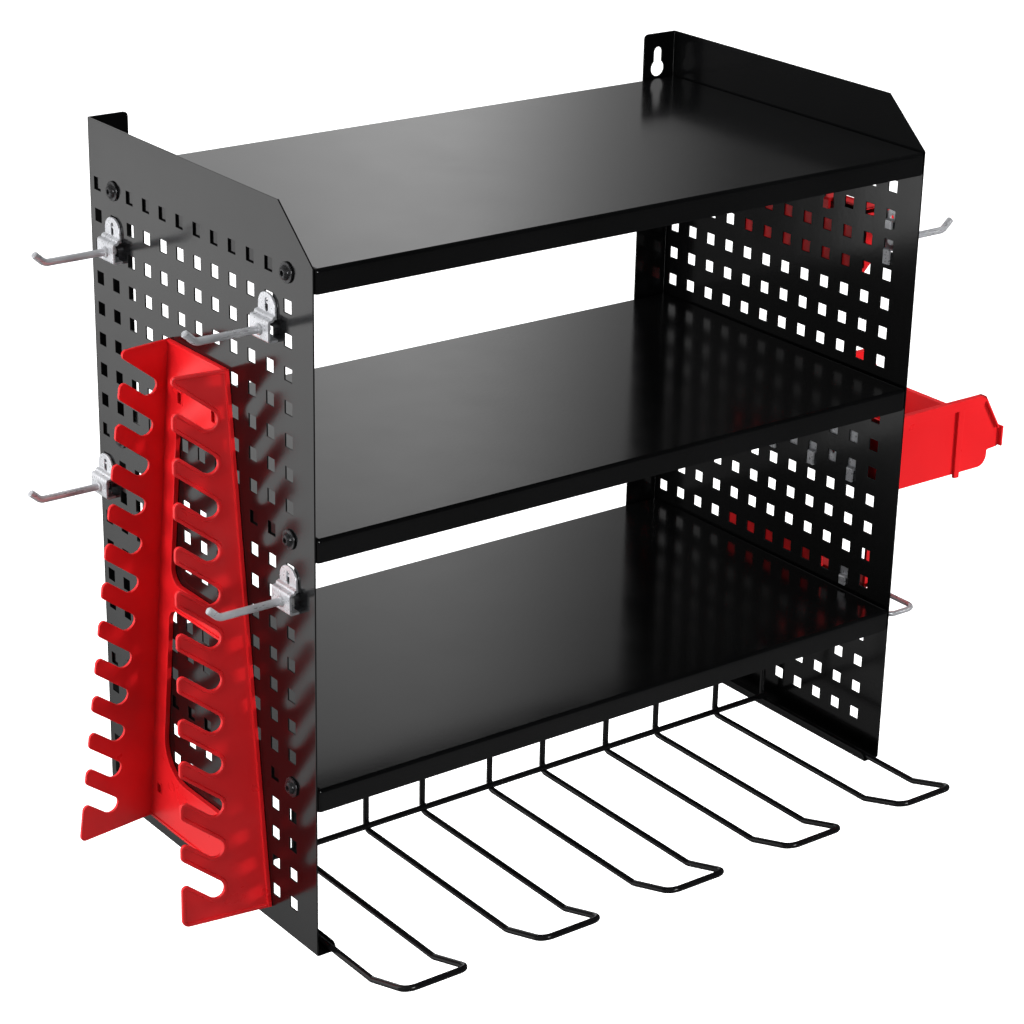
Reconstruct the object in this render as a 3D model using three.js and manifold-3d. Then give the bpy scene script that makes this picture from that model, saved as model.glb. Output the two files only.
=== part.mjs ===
// A wall-hung storage rack for cordless tools, as a three.js scene graph.
//
// Two perforated side panels carry three bolted tray shelves, a wire rack of five tool loops under the
// lowest shelf, and accessories whose prongs drop into the square holes of the panels.
//
// Millimetres, +Z up. X runs across the rack, left panel at -X. The wall is the plane Y = 0 and the
// front is at -Y. The origin is on the wall, midway between the panels, level with the hanging slots.
import * as THREE from 'three';
import { mergeVertices } from 'three/addons/utils/BufferGeometryUtils.js';
import Module from 'manifold-3d';

const wasm = await Module();
wasm.setup();

// ---- driving dimensions ---------------------------------------------------------------------------
const WIDTH = 581;              // outside of left panel to outside of right panel
const DEPTH = 315;              // wall to the front edge of the panels
const PANEL_TOP = 16.5;
const PANEL_HEIGHT = 580;
const SHEET = 1.2;              // sheet steel of panels and shelves
const GAP = 0.3;                // clearance between pieces that touch

const CHAMFER_DEPTH = 44;       // sloped corner at the top front of a panel
const CHAMFER_HEIGHT = 38.8;
const BACK_FLANGE = 35;         // width of the flange that lies on the wall
const FLANGE_ROUND = 4;
const FOOT_FLANGE = 17;         // width of the flange along the bottom
const FOOT_LIP = 7;             // height of the upturned lip of that flange

const ROWS = 21;
const COLUMNS = 12;
const ROW_PITCH = 25;
const COLUMN_PITCH = 24.5;
const FIRST_ROW_Z = -33;
const FIRST_COLUMN_Y = -13;
const HOLE = 10;                // side of a square hole

const KEYHOLE_INSET = 19.2;     // from the panel's outer face to the middle of the keyhole
const KEYHOLE_SLOT = 8.6;
const KEYHOLE_HEAD = 14.4;
const KEYHOLE_DROP = 14.5;       // from the slot's upper centre down to the head's centre

const SHELF_ROWS = [0, 8, 16];  // the rows that carry the shelf bolts
const SHELF_NAMES = ['top', 'middle', 'bottom'];
const SHELF_RISE = 9;           // shelf surface above the bolt row
const SHELF_LIP = 17;
const SHELF_BACK = 4;           // wall to the back edge of a shelf
const SHELF_END_GAP = 1.8;      // panel to the folded end of a shelf
const BOLT_COLUMNS = [1, 11];
const BOLT_CLEARANCE = 6.6;

const BOLT_SHANK = 5.8;
const BOLT_FLANGE = 15.5;
const BOLT_HEAD = 10.5;
const NUT_CORNERS = 11.5;
const NUT_HEIGHT = 5;

const WIRE = 5.5;               // wire of the tool loops
const LOOP_COUNT = 5;
const LOOP_PITCH = 125;
const LOOP_WIDTH = 56;
const RISER_Y = -176;
const KINK_Y = -370;            // where the tips start to slope up
const TIP_Y = -415;
const TIP_RISE = 13.3;
const RISER_TOP = 6;            // lowest shelf's underside to the top of the risers

const ZINC_SHEET = 1.8;
const PRONG_WIDTH = 7;
const ZINC_ROD = 5.8;
const HOOK_TAB = 21.5;          // width of a hook's rounded tab
const HOOK_BLOCK = 24.5;        // width of the folded block below it
const HOOK_STAND = 8.5;         // panel to the outer face of the block
const HOOK_REACH = 69;          // panel to the hook's tip
const HOOKS = [                 // name, side, column and upper row
  ['upper_back_hook', -1, 1, 1],
  ['upper_front_hook', -1, 10, 1],
  ['lower_back_hook', -1, 0, 9],
  ['lower_front_hook', -1, 11, 9],
  ['right_hook', 1, 11, 2],
];

const PLASTIC = 3;              // wall of the wrench rack and the tool holders
const PEG_WIDTH = 6;
const COMB_COLUMN = 6;          // the wrench rack is centred on this column
const COMB_TOP = -127;
const COMB_BOTTOM = -550;
const COMB_TOP_HALF = 43;       // half the width of its base plate at the top
const COMB_BOTTOM_HALF = 92;
const COMB_TOP_DEPTH = 44.5;    // how far the combs stand off the panel at the top
const COMB_BOTTOM_DEPTH = 73;
const COMB_LEAN = Math.tan(THREE.MathUtils.degToRad(8));
const SLOTS = 12;
const SLOT_PITCH = 33;
const SLOT_RADIUS = 7.15;
const SLOT_SLANT = THREE.MathUtils.degToRad(38);
const FIRST_SLOT_Z = -162;
const FIRST_SLOT_DEPTH = 19.2;
const SLOT_DEPTH_STEP = 2.27;

const BIN_COLUMN = 8;
const BIN_WIDTH = 151;
const BIN_TOP = -263.5;
const BIN_HEIGHT = 68;
const BIN_WALL = 2.2;
const BIN_BACK = 7.5;           // panel to the outside of the bin's back wall
const BIN_ROW = 11;             // the row that takes its bracket's prongs

// ---- shared helpers -------------------------------------------------------------------------------
const panelBottom = PANEL_TOP - PANEL_HEIGHT;
const rowZ = (row) => FIRST_ROW_Z - ROW_PITCH * row;
const columnY = (column) => FIRST_COLUMN_Y - COLUMN_PITCH * column;
const shelfTop = (row) => rowZ(row) + SHELF_RISE;

// A closed geometry as a manifold solid.
function solid(geometry) {
  const bare = geometry.index ? geometry.toNonIndexed() : geometry.clone();
  bare.deleteAttribute('normal');
  bare.deleteAttribute('uv');
  const merged = mergeVertices(bare, 1e-5);
  return new wasm.Manifold(new wasm.Mesh({
    numProp: 3,
    vertProperties: new Float32Array(merged.attributes.position.array),
    triVerts: new Uint32Array(merged.index.array),
  }));
}

// A manifold solid back as a geometry.
function geometryOf(manifold) {
  const mesh = manifold.getMesh();
  const geometry = new THREE.BufferGeometry();
  geometry.setAttribute('position', new THREE.BufferAttribute(new Float32Array(mesh.vertProperties), 3));
  geometry.setIndex(new THREE.BufferAttribute(new Uint32Array(mesh.triVerts), 1));
  geometry.computeVertexNormals();
  return geometry;
}

const joined = (first, ...others) => others.reduce((sum, next) => sum.add(next), first);

// A box given by its two opposite corners.
function box([x0, y0, z0], [x1, y1, z1]) {
  const geometry = new THREE.BoxGeometry(Math.abs(x1 - x0), Math.abs(y1 - y0), Math.abs(z1 - z0));
  geometry.translate((x0 + x1) / 2, (y0 + y1) / 2, (z0 + z1) / 2);
  return solid(geometry);
}

// An outline of corners [a, b, radius]: a corner with a radius becomes an arc of that radius.
function outline(corners, arcSteps = 3) {
  const points = [];
  corners.forEach(([a, b, radius = 0], index) => {
    const here = new THREE.Vector2(a, b);
    if (radius === 0) {
      points.push(here);
      return;
    }
    const before = new THREE.Vector2(...corners[(index + corners.length - 1) % corners.length].slice(0, 2));
    const after = new THREE.Vector2(...corners[(index + 1) % corners.length].slice(0, 2));
    const toBefore = before.sub(here).normalize();
    const toAfter = after.sub(here).normalize();
    const half = Math.acos(THREE.MathUtils.clamp(toBefore.dot(toAfter), -1, 1)) / 2;
    const bisector = toBefore.clone().add(toAfter).normalize();
    const centre = here.clone().addScaledVector(bisector, radius / Math.sin(half));
    const start = here.clone().addScaledVector(toBefore, radius / Math.tan(half)).sub(centre);
    const turn = (Math.PI - 2 * half) * Math.sign(start.cross(here.clone().sub(centre)));
    for (let step = 0; step <= arcSteps; step += 1) {
      points.push(start.clone().rotateAround(new THREE.Vector2(), (turn * step) / arcSteps).add(centre));
    }
  });
  return points;
}

// An outline made thick between from and to, then placed by a matrix. A matrix that mirrors turns the
// faces inside out, so they are turned back. Holes are cut right through.
function plate(matrix, points, from, to, holes = []) {
  const settings = { depth: to - from, bevelEnabled: false, steps: 1 };
  const geometry = new THREE.ExtrudeGeometry(new THREE.Shape(points), settings);
  geometry.translate(0, 0, from);
  geometry.applyMatrix4(matrix);
  if (matrix.determinant() < 0) {
    const place = geometry.attributes.position;
    for (let corner = 0; corner < place.count; corner += 3) {
      const second = new THREE.Vector3().fromBufferAttribute(place, corner + 1);
      const third = new THREE.Vector3().fromBufferAttribute(place, corner + 2);
      place.setXYZ(corner + 1, third.x, third.y, third.z);
      place.setXYZ(corner + 2, second.x, second.y, second.z);
    }
  }
  const cuts = holes.map((hole) => plate(matrix, hole, from - 1, to + 1));
  return cuts.reduce((rest, cut) => rest.subtract(cut), solid(geometry));
}

// Outline numbers as (Y, Z), thickness along X.
const facingX = new THREE.Matrix4().set(0, 0, 1, 0, 1, 0, 0, 0, 0, 1, 0, 0, 0, 0, 0, 1);
// Outline numbers as (X, Z), thickness along Y.
const facingY = new THREE.Matrix4().set(1, 0, 0, 0, 0, 0, 1, 0, 0, 1, 0, 0, 0, 0, 0, 1);
// Outline numbers as (X, Y), thickness along Z.
const facingZ = new THREE.Matrix4();

const rectangle = (a0, b0, a1, b1, radius = 0) => outline(
  [[a0, b0, radius], [a1, b0, radius], [a1, b1, radius], [a0, b1, radius]],
  2,
);

// The X of a place outside a panel: side is -1 or 1, out is the distance from the panel's outer face.
const outside = (side, out) => side * (WIDTH / 2 + out);

// A regular polygon, for holes, sockets and nuts.
function polygon(a, b, radius, sides, turn = 0) {
  return Array.from({ length: sides }, (_, index) => {
    const angle = turn + (2 * Math.PI * index) / sides;
    return new THREE.Vector2(a + radius * Math.cos(angle), b + radius * Math.sin(angle));
  });
}

// A wire's centre line through given corners, each bent with its own radius.
class BentWire extends THREE.Curve {
  constructor(corners, arcSteps) {
    super();
    this.nodes = [];
    corners.forEach(([x, y, z, radius = 0], index) => {
      const here = new THREE.Vector3(x, y, z);
      if (radius === 0) {
        this.nodes.push(here);
        return;
      }
      const toBefore = new THREE.Vector3(...corners[index - 1].slice(0, 3)).sub(here).normalize();
      const toAfter = new THREE.Vector3(...corners[index + 1].slice(0, 3)).sub(here).normalize();
      const half = toBefore.angleTo(toAfter) / 2;
      const bisector = toBefore.clone().add(toAfter).normalize();
      const centre = here.clone().addScaledVector(bisector, radius / Math.sin(half));
      const start = here.clone().addScaledVector(toBefore, radius / Math.tan(half)).sub(centre);
      const axis = toBefore.clone().cross(toAfter).normalize();
      for (let step = 0; step <= arcSteps; step += 1) {
        const angle = -((Math.PI - 2 * half) * step) / arcSteps;
        this.nodes.push(start.clone().applyAxisAngle(axis, angle).add(centre));
      }
    });
  }

  getPointAt(u, target = new THREE.Vector3()) {
    const place = u * (this.nodes.length - 1);
    const index = Math.min(Math.floor(place), this.nodes.length - 2);
    return target.copy(this.nodes[index]).lerp(this.nodes[index + 1], place - index);
  }

  getPoint(t, target) {
    return this.getPointAt(t, target);
  }

  getTangentAt(u, target = new THREE.Vector3()) {
    const index = Math.round(u * (this.nodes.length - 1));
    const before = this.nodes[Math.max(index - 1, 0)];
    const here = this.nodes[index];
    const after = this.nodes[Math.min(index + 1, this.nodes.length - 1)];
    const arriving = here.clone().sub(before).normalize();
    const leaving = after.clone().sub(here).normalize();
    return target.copy(arriving).add(leaving).normalize();
  }
}

// A round wire along a bent centre line.
function wire(corners, diameter, { sides = 8, arcSteps = 2 } = {}) {
  const path = new BentWire(corners, arcSteps);
  const section = new THREE.Shape(polygon(0, 0, diameter / 2, sides, Math.PI / sides));
  return new THREE.ExtrudeGeometry(section, { extrudePath: path, steps: path.nodes.length - 1 });
}

const finishes = {
  blackCoat: { color: 0x17181a, roughness: 0.42, metalness: 0.1 },
  redPlastic: { color: 0xd51f26, roughness: 0.3, metalness: 0 },
  zinc: { color: 0xd7d9da, roughness: 0.2, metalness: 1 },
  blackWire: { color: 0x121214, roughness: 0.35, metalness: 0.2 },
  darkBolt: { color: 0x1d1e20, roughness: 0.25, metalness: 0.8 },
};

const rack = new THREE.Group();

function add(name, shape, finish) {
  const geometry = shape instanceof THREE.BufferGeometry ? shape : geometryOf(shape);
  const mesh = new THREE.Mesh(geometry, new THREE.MeshStandardMaterial(finishes[finish]));
  mesh.name = name;
  rack.add(mesh);
  return mesh;
}

// ---- side panels ----------------------------------------------------------------------------------
// side is -1 for the left panel and +1 for the right one. A panel is one bent sheet: the perforated
// side, the back flange with its keyhole, and the foot flange with its upturned lip.
function sidePanel(side) {
  const outer = side * (WIDTH / 2);
  const inner = outer - side * SHEET;
  const [from, to] = [Math.min(outer, inner), Math.max(outer, inner)];

  const punches = [];
  for (let row = 0; row < ROWS; row += 1) {
    for (let column = 0; column < COLUMNS; column += 1) {
      const [y, z] = [columnY(column), rowZ(row)];
      if (SHELF_ROWS.includes(row) && BOLT_COLUMNS.includes(column)) {
        punches.push(plate(facingX, polygon(y, z, BOLT_CLEARANCE / 2, 8), from - 1, to + 1));
      } else {
        const half = HOLE / 2;
        punches.push(box([from - 1, y - half, z - half], [to + 1, y + half, z + half]));
      }
    }
  }
  const profile = outline([
    [0, panelBottom],
    [0, PANEL_TOP],
    [CHAMFER_DEPTH - DEPTH, PANEL_TOP, 3],
    [-DEPTH, PANEL_TOP - CHAMFER_HEIGHT, 3],
    [-DEPTH, panelBottom],
  ]);
  const face = plate(facingX, profile, from, to).subtract(joined(...punches));

  const flangeEdge = outer - side * BACK_FLANGE;
  const backFlange = plate(facingY, outline([
    [outer, panelBottom],
    [flangeEdge, panelBottom, FLANGE_ROUND],
    [flangeEdge, PANEL_TOP, FLANGE_ROUND],
    [outer, PANEL_TOP],
  ]), -SHEET, 0, [keyhole(outer - side * KEYHOLE_INSET)]);

  const lipInner = outer - side * FOOT_FLANGE;
  const foot = box([outer, -DEPTH, panelBottom], [lipInner, -SHEET / 2, panelBottom + SHEET]);
  const lip = box(
    [lipInner, -DEPTH, panelBottom],
    [lipInner + side * SHEET, -SHEET / 2, panelBottom + FOOT_LIP],
  );
  return joined(face, backFlange, foot, lip);
}

// The keyhole outline: a round head with a narrower slot rising from it to the height of the origin.
function keyhole(x) {
  const slot = KEYHOLE_SLOT / 2;
  const head = KEYHOLE_HEAD / 2;
  const neck = Math.asin(slot / head);
  const headSteps = 10;
  const slotSteps = 5;
  const points = [];
  for (let step = 0; step <= headSteps; step += 1) {
    const angle = neck + ((2 * Math.PI - 2 * neck) * step) / headSteps;
    points.push(new THREE.Vector2(x - head * Math.sin(angle), -KEYHOLE_DROP + head * Math.cos(angle)));
  }
  for (let step = 0; step <= slotSteps; step += 1) {
    const angle = (Math.PI * step) / slotSteps;
    points.push(new THREE.Vector2(x + slot * Math.cos(angle), slot * Math.sin(angle)));
  }
  return points;
}

add('left_panel', sidePanel(-1), 'blackCoat');
add('right_panel', sidePanel(1), 'blackCoat');

// ---- shelves --------------------------------------------------------------------------------------
// A shelf is a shallow tray turned upside down: a top with a lip folded down on all four sides.
const shelfEnd = WIDTH / 2 - SHEET - SHELF_END_GAP;

function shelf(row) {
  const top = shelfTop(row);
  const front = -DEPTH + GAP;
  const back = -SHELF_BACK;
  const tray = box([-shelfEnd, front, top - SHELF_LIP], [shelfEnd, back, top]);
  const hollow = box(
    [-shelfEnd + SHEET, front + SHEET, top - SHELF_LIP - 1],
    [shelfEnd - SHEET, back - SHEET, top - SHEET],
  );
  const boltHoles = BOLT_COLUMNS.map((column) => plate(
    facingX,
    polygon(columnY(column), rowZ(row), BOLT_CLEARANCE / 2, 8),
    -WIDTH / 2,
    WIDTH / 2,
  ));
  return tray.subtract(joined(hollow, ...boltHoles));
}

SHELF_ROWS.forEach((row, index) => add(`shelf_${SHELF_NAMES[index]}`, shelf(row), 'blackCoat'));

// ---- shelf bolts and nuts -------------------------------------------------------------------------
// A flanged button-head bolt as a lathe profile of (radius, distance outward from the panel).
const nutOut = -SHEET - SHELF_END_GAP - SHEET - GAP;
const boltEnd = nutOut - NUT_HEIGHT - 2;
const boltProfile = [
  [0, boltEnd],
  [BOLT_SHANK / 2, boltEnd],
  [BOLT_SHANK / 2, GAP],
  [BOLT_FLANGE / 2, GAP],
  [BOLT_FLANGE / 2, GAP + 1.1],
  [BOLT_HEAD / 2, GAP + 1.9],
  [BOLT_HEAD / 2 - 2, GAP + 4.4],
  [0, GAP + 4.4],
].map(([radius, along]) => new THREE.Vector2(radius, along));
const SOCKET = 4.6;             // corner to corner of the hexagon socket
const SOCKET_DEPTH = 2.4;

// A manifold solid moved by a matrix built from two three.js parts.
function placed(manifold, position, rotation = new THREE.Euler()) {
  const geometry = geometryOf(manifold);
  geometry.applyMatrix4(new THREE.Matrix4().makeRotationFromEuler(rotation).setPosition(...position));
  return geometry;
}

function shelfBolt() {
  const turned = solid(new THREE.LatheGeometry(boltProfile, 8));
  const socket = new THREE.CylinderGeometry(SOCKET / 2, SOCKET / 2, SOCKET_DEPTH * 2, 6);
  socket.translate(0, GAP + 4.4, 0);
  return turned.subtract(solid(socket));
}

function shelfNut() {
  return plate(
    facingZ,
    polygon(0, 0, NUT_CORNERS / 2, 6),
    0,
    NUT_HEIGHT,
    [polygon(0, 0, BOLT_CLEARANCE / 2, 8)],
  );
}

const bolt = shelfBolt();
const nut = shelfNut();
[[-1, 'left'], [1, 'right']].forEach(([side, sideName]) => {
  SHELF_ROWS.forEach((row, rowIndex) => {
    BOLT_COLUMNS.forEach((column, columnIndex) => {
      const place = `${SHELF_NAMES[rowIndex]}_${sideName}_${columnIndex === 0 ? 'back' : 'front'}`;
      const boltTurn = new THREE.Euler(0, 0, (-side * Math.PI) / 2);
      add(`bolt_${place}`, placed(bolt, [outside(side, 0), columnY(column), rowZ(row)], boltTurn), 'darkBolt');
      const nutTurn = new THREE.Euler(0, (-side * Math.PI) / 2, 0);
      const nutPlace = [outside(side, nutOut), columnY(column), rowZ(row)];
      add(`nut_${place}`, placed(nut, nutPlace, nutTurn), 'darkBolt');
    });
  });
});

// ---- tool loops under the lowest shelf ------------------------------------------------------------
const legZ = panelBottom + SHEET + GAP + WIRE / 2;
const shelfUnderside = shelfTop(SHELF_ROWS[2]) - SHEET;
const riserTop = shelfUnderside - RISER_TOP;

for (let index = 0; index < LOOP_COUNT; index += 1) {
  const middle = LOOP_PITCH * (index - (LOOP_COUNT - 1) / 2);
  const [left, right] = [middle - LOOP_WIDTH / 2, middle + LOOP_WIDTH / 2];
  add(`tool_loop_${index + 1}`, wire([
    [left, RISER_Y, riserTop],
    [left, RISER_Y, legZ, 6],
    [left, KINK_Y, legZ, 12],
    [left, TIP_Y, legZ + TIP_RISE, 9],
    [right, TIP_Y, legZ + TIP_RISE, 9],
    [right, KINK_Y, legZ, 12],
    [right, RISER_Y, legZ, 6],
    [right, RISER_Y, riserTop],
  ], WIRE), 'blackWire');
}

const loopSpan = LOOP_PITCH * (LOOP_COUNT - 1) + LOOP_WIDTH;
add('loop_cross_rod', wire([
  [-loopSpan / 2, RISER_Y - WIRE - GAP, legZ + WIRE + GAP],
  [loopSpan / 2, RISER_Y - WIRE - GAP, legZ + WIRE + GAP],
], WIRE), 'blackWire');

// The angle strip that the risers are welded to hangs from the underside of the lowest shelf.
const stripFront = RISER_Y + WIRE / 2 + GAP;
const stripTop = shelfUnderside - GAP;
const STRIP_LEG = 18;
const STRIP_FOOT = 15;
add('loop_hanger_strip', joined(
  box([-loopSpan / 2 - 3, stripFront, stripTop - STRIP_LEG], [loopSpan / 2 + 3, stripFront + 1.5, stripTop]),
  box([-loopSpan / 2 - 3, stripFront, stripTop - 1.5], [loopSpan / 2 + 3, stripFront + STRIP_FOOT, stripTop]),
), 'blackCoat');

// ---- prongs ---------------------------------------------------------------------------------------
// A flat prong goes in through a square hole and its leg hangs down behind the panel. Its top and
// bottom heights and the leg's end are measured from the middle of the hole.
function prong(side, column, row, { width, thickness, drop, rest = GAP + 0.5 }) {
  const y = columnY(column);
  const low = rowZ(row) - HOLE / 2 + rest;
  const back = -SHEET - GAP - 0.1;
  return joined(
    box(
      [outside(side, GAP), y - width / 2, low],
      [outside(side, back - thickness), y + width / 2, low + thickness],
    ),
    box(
      [outside(side, back), y - width / 2, rowZ(row) - HOLE / 2 - drop],
      [outside(side, back - thickness), y + width / 2, low + thickness],
    ),
  );
}

const zincProng = { width: PRONG_WIDTH, thickness: ZINC_SHEET };
const plasticPeg = { width: PEG_WIDTH, thickness: PLASTIC, drop: 5.5 };

// ---- hooks ----------------------------------------------------------------------------------------
const BLOCK_TOP = -12.7;        // heights from the middle of the upper hole
const TAB_TOP = 4.5;
const ROD_HEIGHT = -21.5;

HOOKS.forEach(([name, side, column, row]) => {
  const y = columnY(column);
  const z = rowZ(row);
  const low = -ROW_PITCH - HOLE / 2 + GAP + 0.5;
  const [near, far] = [outside(side, GAP), outside(side, GAP + ZINC_SHEET)];
  const tab = plate(
    facingX,
    outline([
      [y - HOOK_TAB / 2, z + BLOCK_TOP - ZINC_SHEET],
      [y + HOOK_TAB / 2, z + BLOCK_TOP - ZINC_SHEET],
      [y + HOOK_TAB / 2, z + TAB_TOP, HOOK_TAB / 2 - 0.5],
      [y - HOOK_TAB / 2, z + TAB_TOP, HOOK_TAB / 2 - 0.5],
    ], 4),
    Math.min(near, far),
    Math.max(near, far),
    [rectangle(y - 1.75, z - 9, y + 1.75, z, 1.5)],
  );
  const half = HOOK_BLOCK / 2;
  const block = joined(
    box(
      [near, y - half, z + BLOCK_TOP - ZINC_SHEET],
      [outside(side, HOOK_STAND), y + half, z + BLOCK_TOP],
    ),
    box(
      [outside(side, HOOK_STAND - ZINC_SHEET), y - half, z + low],
      [outside(side, HOOK_STAND), y + half, z + BLOCK_TOP],
    ),
    box([near, y - half, z + low], [outside(side, HOOK_STAND), y + half, z + low + ZINC_SHEET]),
  );
  add(`${name}_plate`, joined(
    tab,
    block,
    prong(side, column, row, { ...zincProng, drop: 5.5 }),
    prong(side, column, row + 1, { ...zincProng, drop: 10.5 }),
  ), 'zinc');
  add(`${name}_rod`, wire([
    [outside(side, HOOK_STAND + GAP), y, z + ROD_HEIGHT],
    [outside(side, HOOK_REACH - 9), y, z + ROD_HEIGHT, 8],
    [outside(side, HOOK_REACH), y, z + ROD_HEIGHT + 8],
  ], ZINC_ROD, { arcSteps: 4 }), 'zinc');
});

// ---- wrench rack on the left panel ----------------------------------------------------------------
// A tapered base plate with two windows, and a comb standing on each of its sloping sides.
const combY = columnY(COMB_COLUMN);
const combShare = (z) => (COMB_TOP - z) / (COMB_TOP - COMB_BOTTOM);
const combGrow = (z, atTop, atBottom) => atTop + (atBottom - atTop) * combShare(z);
const combHalf = (z) => combGrow(z, COMB_TOP_HALF, COMB_BOTTOM_HALF);
const combDepth = (z) => combGrow(z, COMB_TOP_DEPTH, COMB_BOTTOM_DEPTH);

function combWindow(top, bottom, topRadius, bottomRadius) {
  const inset = 22;
  return outline([
    [combY - combHalf(top) + inset, top, topRadius],
    [combY + combHalf(top) - inset, top, topRadius],
    [combY + combHalf(bottom) - inset, bottom, bottomRadius],
    [combY - combHalf(bottom) + inset, bottom, bottomRadius],
  ], 4);
}

// One comb in (distance from the panel, height): slanted round-bottomed slots open at the outer edge.
function combOutline() {
  const along = new THREE.Vector2(Math.cos(SLOT_SLANT), Math.sin(SLOT_SLANT));
  const across = new THREE.Vector2(-along.y, along.x);
  const corners = [[GAP, COMB_TOP], [combDepth(COMB_TOP), COMB_TOP, 2.5]];
  const slope = (COMB_BOTTOM_DEPTH - COMB_TOP_DEPTH) / (COMB_TOP - COMB_BOTTOM);
  for (let index = 0; index < SLOTS; index += 1) {
    const centre = new THREE.Vector2(
      FIRST_SLOT_DEPTH + SLOT_DEPTH_STEP * index,
      FIRST_SLOT_Z - SLOT_PITCH * index,
    );
    const mouth = (wallSide) => {
      const start = centre.clone().addScaledVector(across, wallSide * SLOT_RADIUS);
      const run = (combDepth(start.y) - start.x) / (along.x + slope * along.y);
      return start.addScaledVector(along, run);
    };
    const upper = mouth(1);
    corners.push([upper.x, upper.y, 4]);
    const arcSteps = 6;
    for (let step = 0; step <= arcSteps; step += 1) {
      const angle = SLOT_SLANT + Math.PI / 2 + (Math.PI * step) / arcSteps;
      corners.push([centre.x + SLOT_RADIUS * Math.cos(angle), centre.y + SLOT_RADIUS * Math.sin(angle)]);
    }
    const lower = mouth(-1);
    corners.push([lower.x, lower.y, 4]);
  }
  corners.push([combDepth(COMB_BOTTOM), COMB_BOTTOM, 5], [GAP, COMB_BOTTOM]);
  return outline(corners);
}

// The matrix that stands a comb on the base plate's sloping side, leaning inward as it goes out.
function combPlacement(end) {
  const spread = (COMB_BOTTOM_HALF - COMB_TOP_HALF) / (COMB_TOP - COMB_BOTTOM);
  const offset = combY + end * (COMB_TOP_HALF + spread * COMB_TOP);
  return new THREE.Matrix4().set(
    -1, 0, 0, -WIDTH / 2,
    -end * COMB_LEAN, -end * spread, -end, offset,
    0, 1, 0, 0,
    0, 0, 0, 1,
  );
}

const combBase = plate(
  facingX,
  outline([
    [combY - COMB_TOP_HALF, COMB_TOP],
    [combY + COMB_TOP_HALF, COMB_TOP],
    [combY + COMB_BOTTOM_HALF, COMB_BOTTOM],
    [combY - COMB_BOTTOM_HALF, COMB_BOTTOM],
  ]),
  outside(-1, GAP + PLASTIC),
  outside(-1, GAP),
  [
    combWindow(-189, -326, 10, 12),
    combWindow(-349, -500, 12, 30),
    ...[5, 7].map((column) => rectangle(columnY(column) - 2.5, -173.5, columnY(column) + 2.5, -164.5)),
    ...[3, 9].map((column) => rectangle(columnY(column) - 2.75, -523, columnY(column) + 2.75, -515)),
  ],
);
const combPegs = [[5, 5], [7, 5], [3, 19], [9, 19]].map(([column, row]) => prong(-1, column, row, plasticPeg));
const combShape = combOutline();
add('wrench_rack', joined(
  combBase,
  ...[-1, 1].map((end) => plate(combPlacement(end), combShape, 0, PLASTIC - 0.2)),
  ...combPegs,
), 'redPlastic');

// ---- parts bin and its bracket on the right panel -------------------------------------------------
const binY = columnY(BIN_COLUMN);
const binBottom = BIN_TOP - BIN_HEIGHT;
// Outline numbers as (distance from the right panel, height), thickness along Y.
const rightOfPanel = new THREE.Matrix4().set(1, 0, 0, WIDTH / 2, 0, 0, 1, 0, 0, 1, 0, 0, 0, 0, 0, 1);
const BIN_RIM_END = 129.3;      // where the rim starts to slope down to the front
const BIN_FRONT_TOP = [149.8, BIN_TOP - 33.5];
const BIN_LABEL = 154.8;        // front face of the label lip
const BIN_FRONT = 139.5;        // front face of the bin below the lip

function binShell() {
  const [near, far] = [binY - BIN_WIDTH / 2, binY + BIN_WIDTH / 2];
  const outer = plate(rightOfPanel, outline([
    [BIN_BACK, BIN_TOP],
    [BIN_RIM_END, BIN_TOP, 2],
    [...BIN_FRONT_TOP, 2],
    [BIN_LABEL, BIN_TOP - 35.5, 1],
    [BIN_LABEL, BIN_TOP - 52, 2.5],
    [BIN_FRONT, BIN_TOP - 53.5],
    [BIN_FRONT, binBottom, 8],
    [BIN_BACK, binBottom, 3],
  ]), near, far);
  const cavity = plate(rightOfPanel, outline([
    [BIN_BACK + BIN_WALL, BIN_TOP + 5],
    [BIN_LABEL + 5, BIN_TOP + 5],
    [BIN_LABEL + 5, BIN_TOP - 33.5],
    [BIN_FRONT_TOP[0], BIN_TOP - 33.5],
    [BIN_FRONT - BIN_WALL, BIN_TOP - 50, 4],
    [BIN_FRONT - BIN_WALL, binBottom + BIN_WALL, 6],
    [BIN_BACK + BIN_WALL, binBottom + BIN_WALL, 2],
  ]), near + BIN_WALL, far - BIN_WALL);
  const underLabel = plate(rightOfPanel, outline([
    [BIN_FRONT + 4.5, BIN_TOP - 56],
    [BIN_LABEL - BIN_WALL, BIN_TOP - 56],
    [BIN_LABEL - BIN_WALL, BIN_TOP - 40],
  ]), near + BIN_WALL, far - BIN_WALL);
  return outer.subtract(cavity).subtract(underLabel);
}

// The bin's back has a downturned lip that drops behind the upturned lip of the bracket.
const BRACKET_HALF = 60;
const HANG_TOP = -267;          // top of the bin's hanging lip
const HANG_LIP = 1.8;
const lipOut = BIN_BACK - 2 * GAP - ZINC_SHEET;
const hangOut = lipOut - 2 * GAP - HANG_LIP;
const bracketShelf = HANG_TOP - 16;

add('parts_bin', joined(
  binShell(),
  box(
    [outside(1, hangOut), binY - BRACKET_HALF, HANG_TOP - 2.5],
    [outside(1, BIN_BACK + 1), binY + BRACKET_HALF, HANG_TOP],
  ),
  box(
    [outside(1, hangOut), binY - BRACKET_HALF, HANG_TOP - 13],
    [outside(1, hangOut + HANG_LIP), binY + BRACKET_HALF, HANG_TOP],
  ),
), 'redPlastic');

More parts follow.
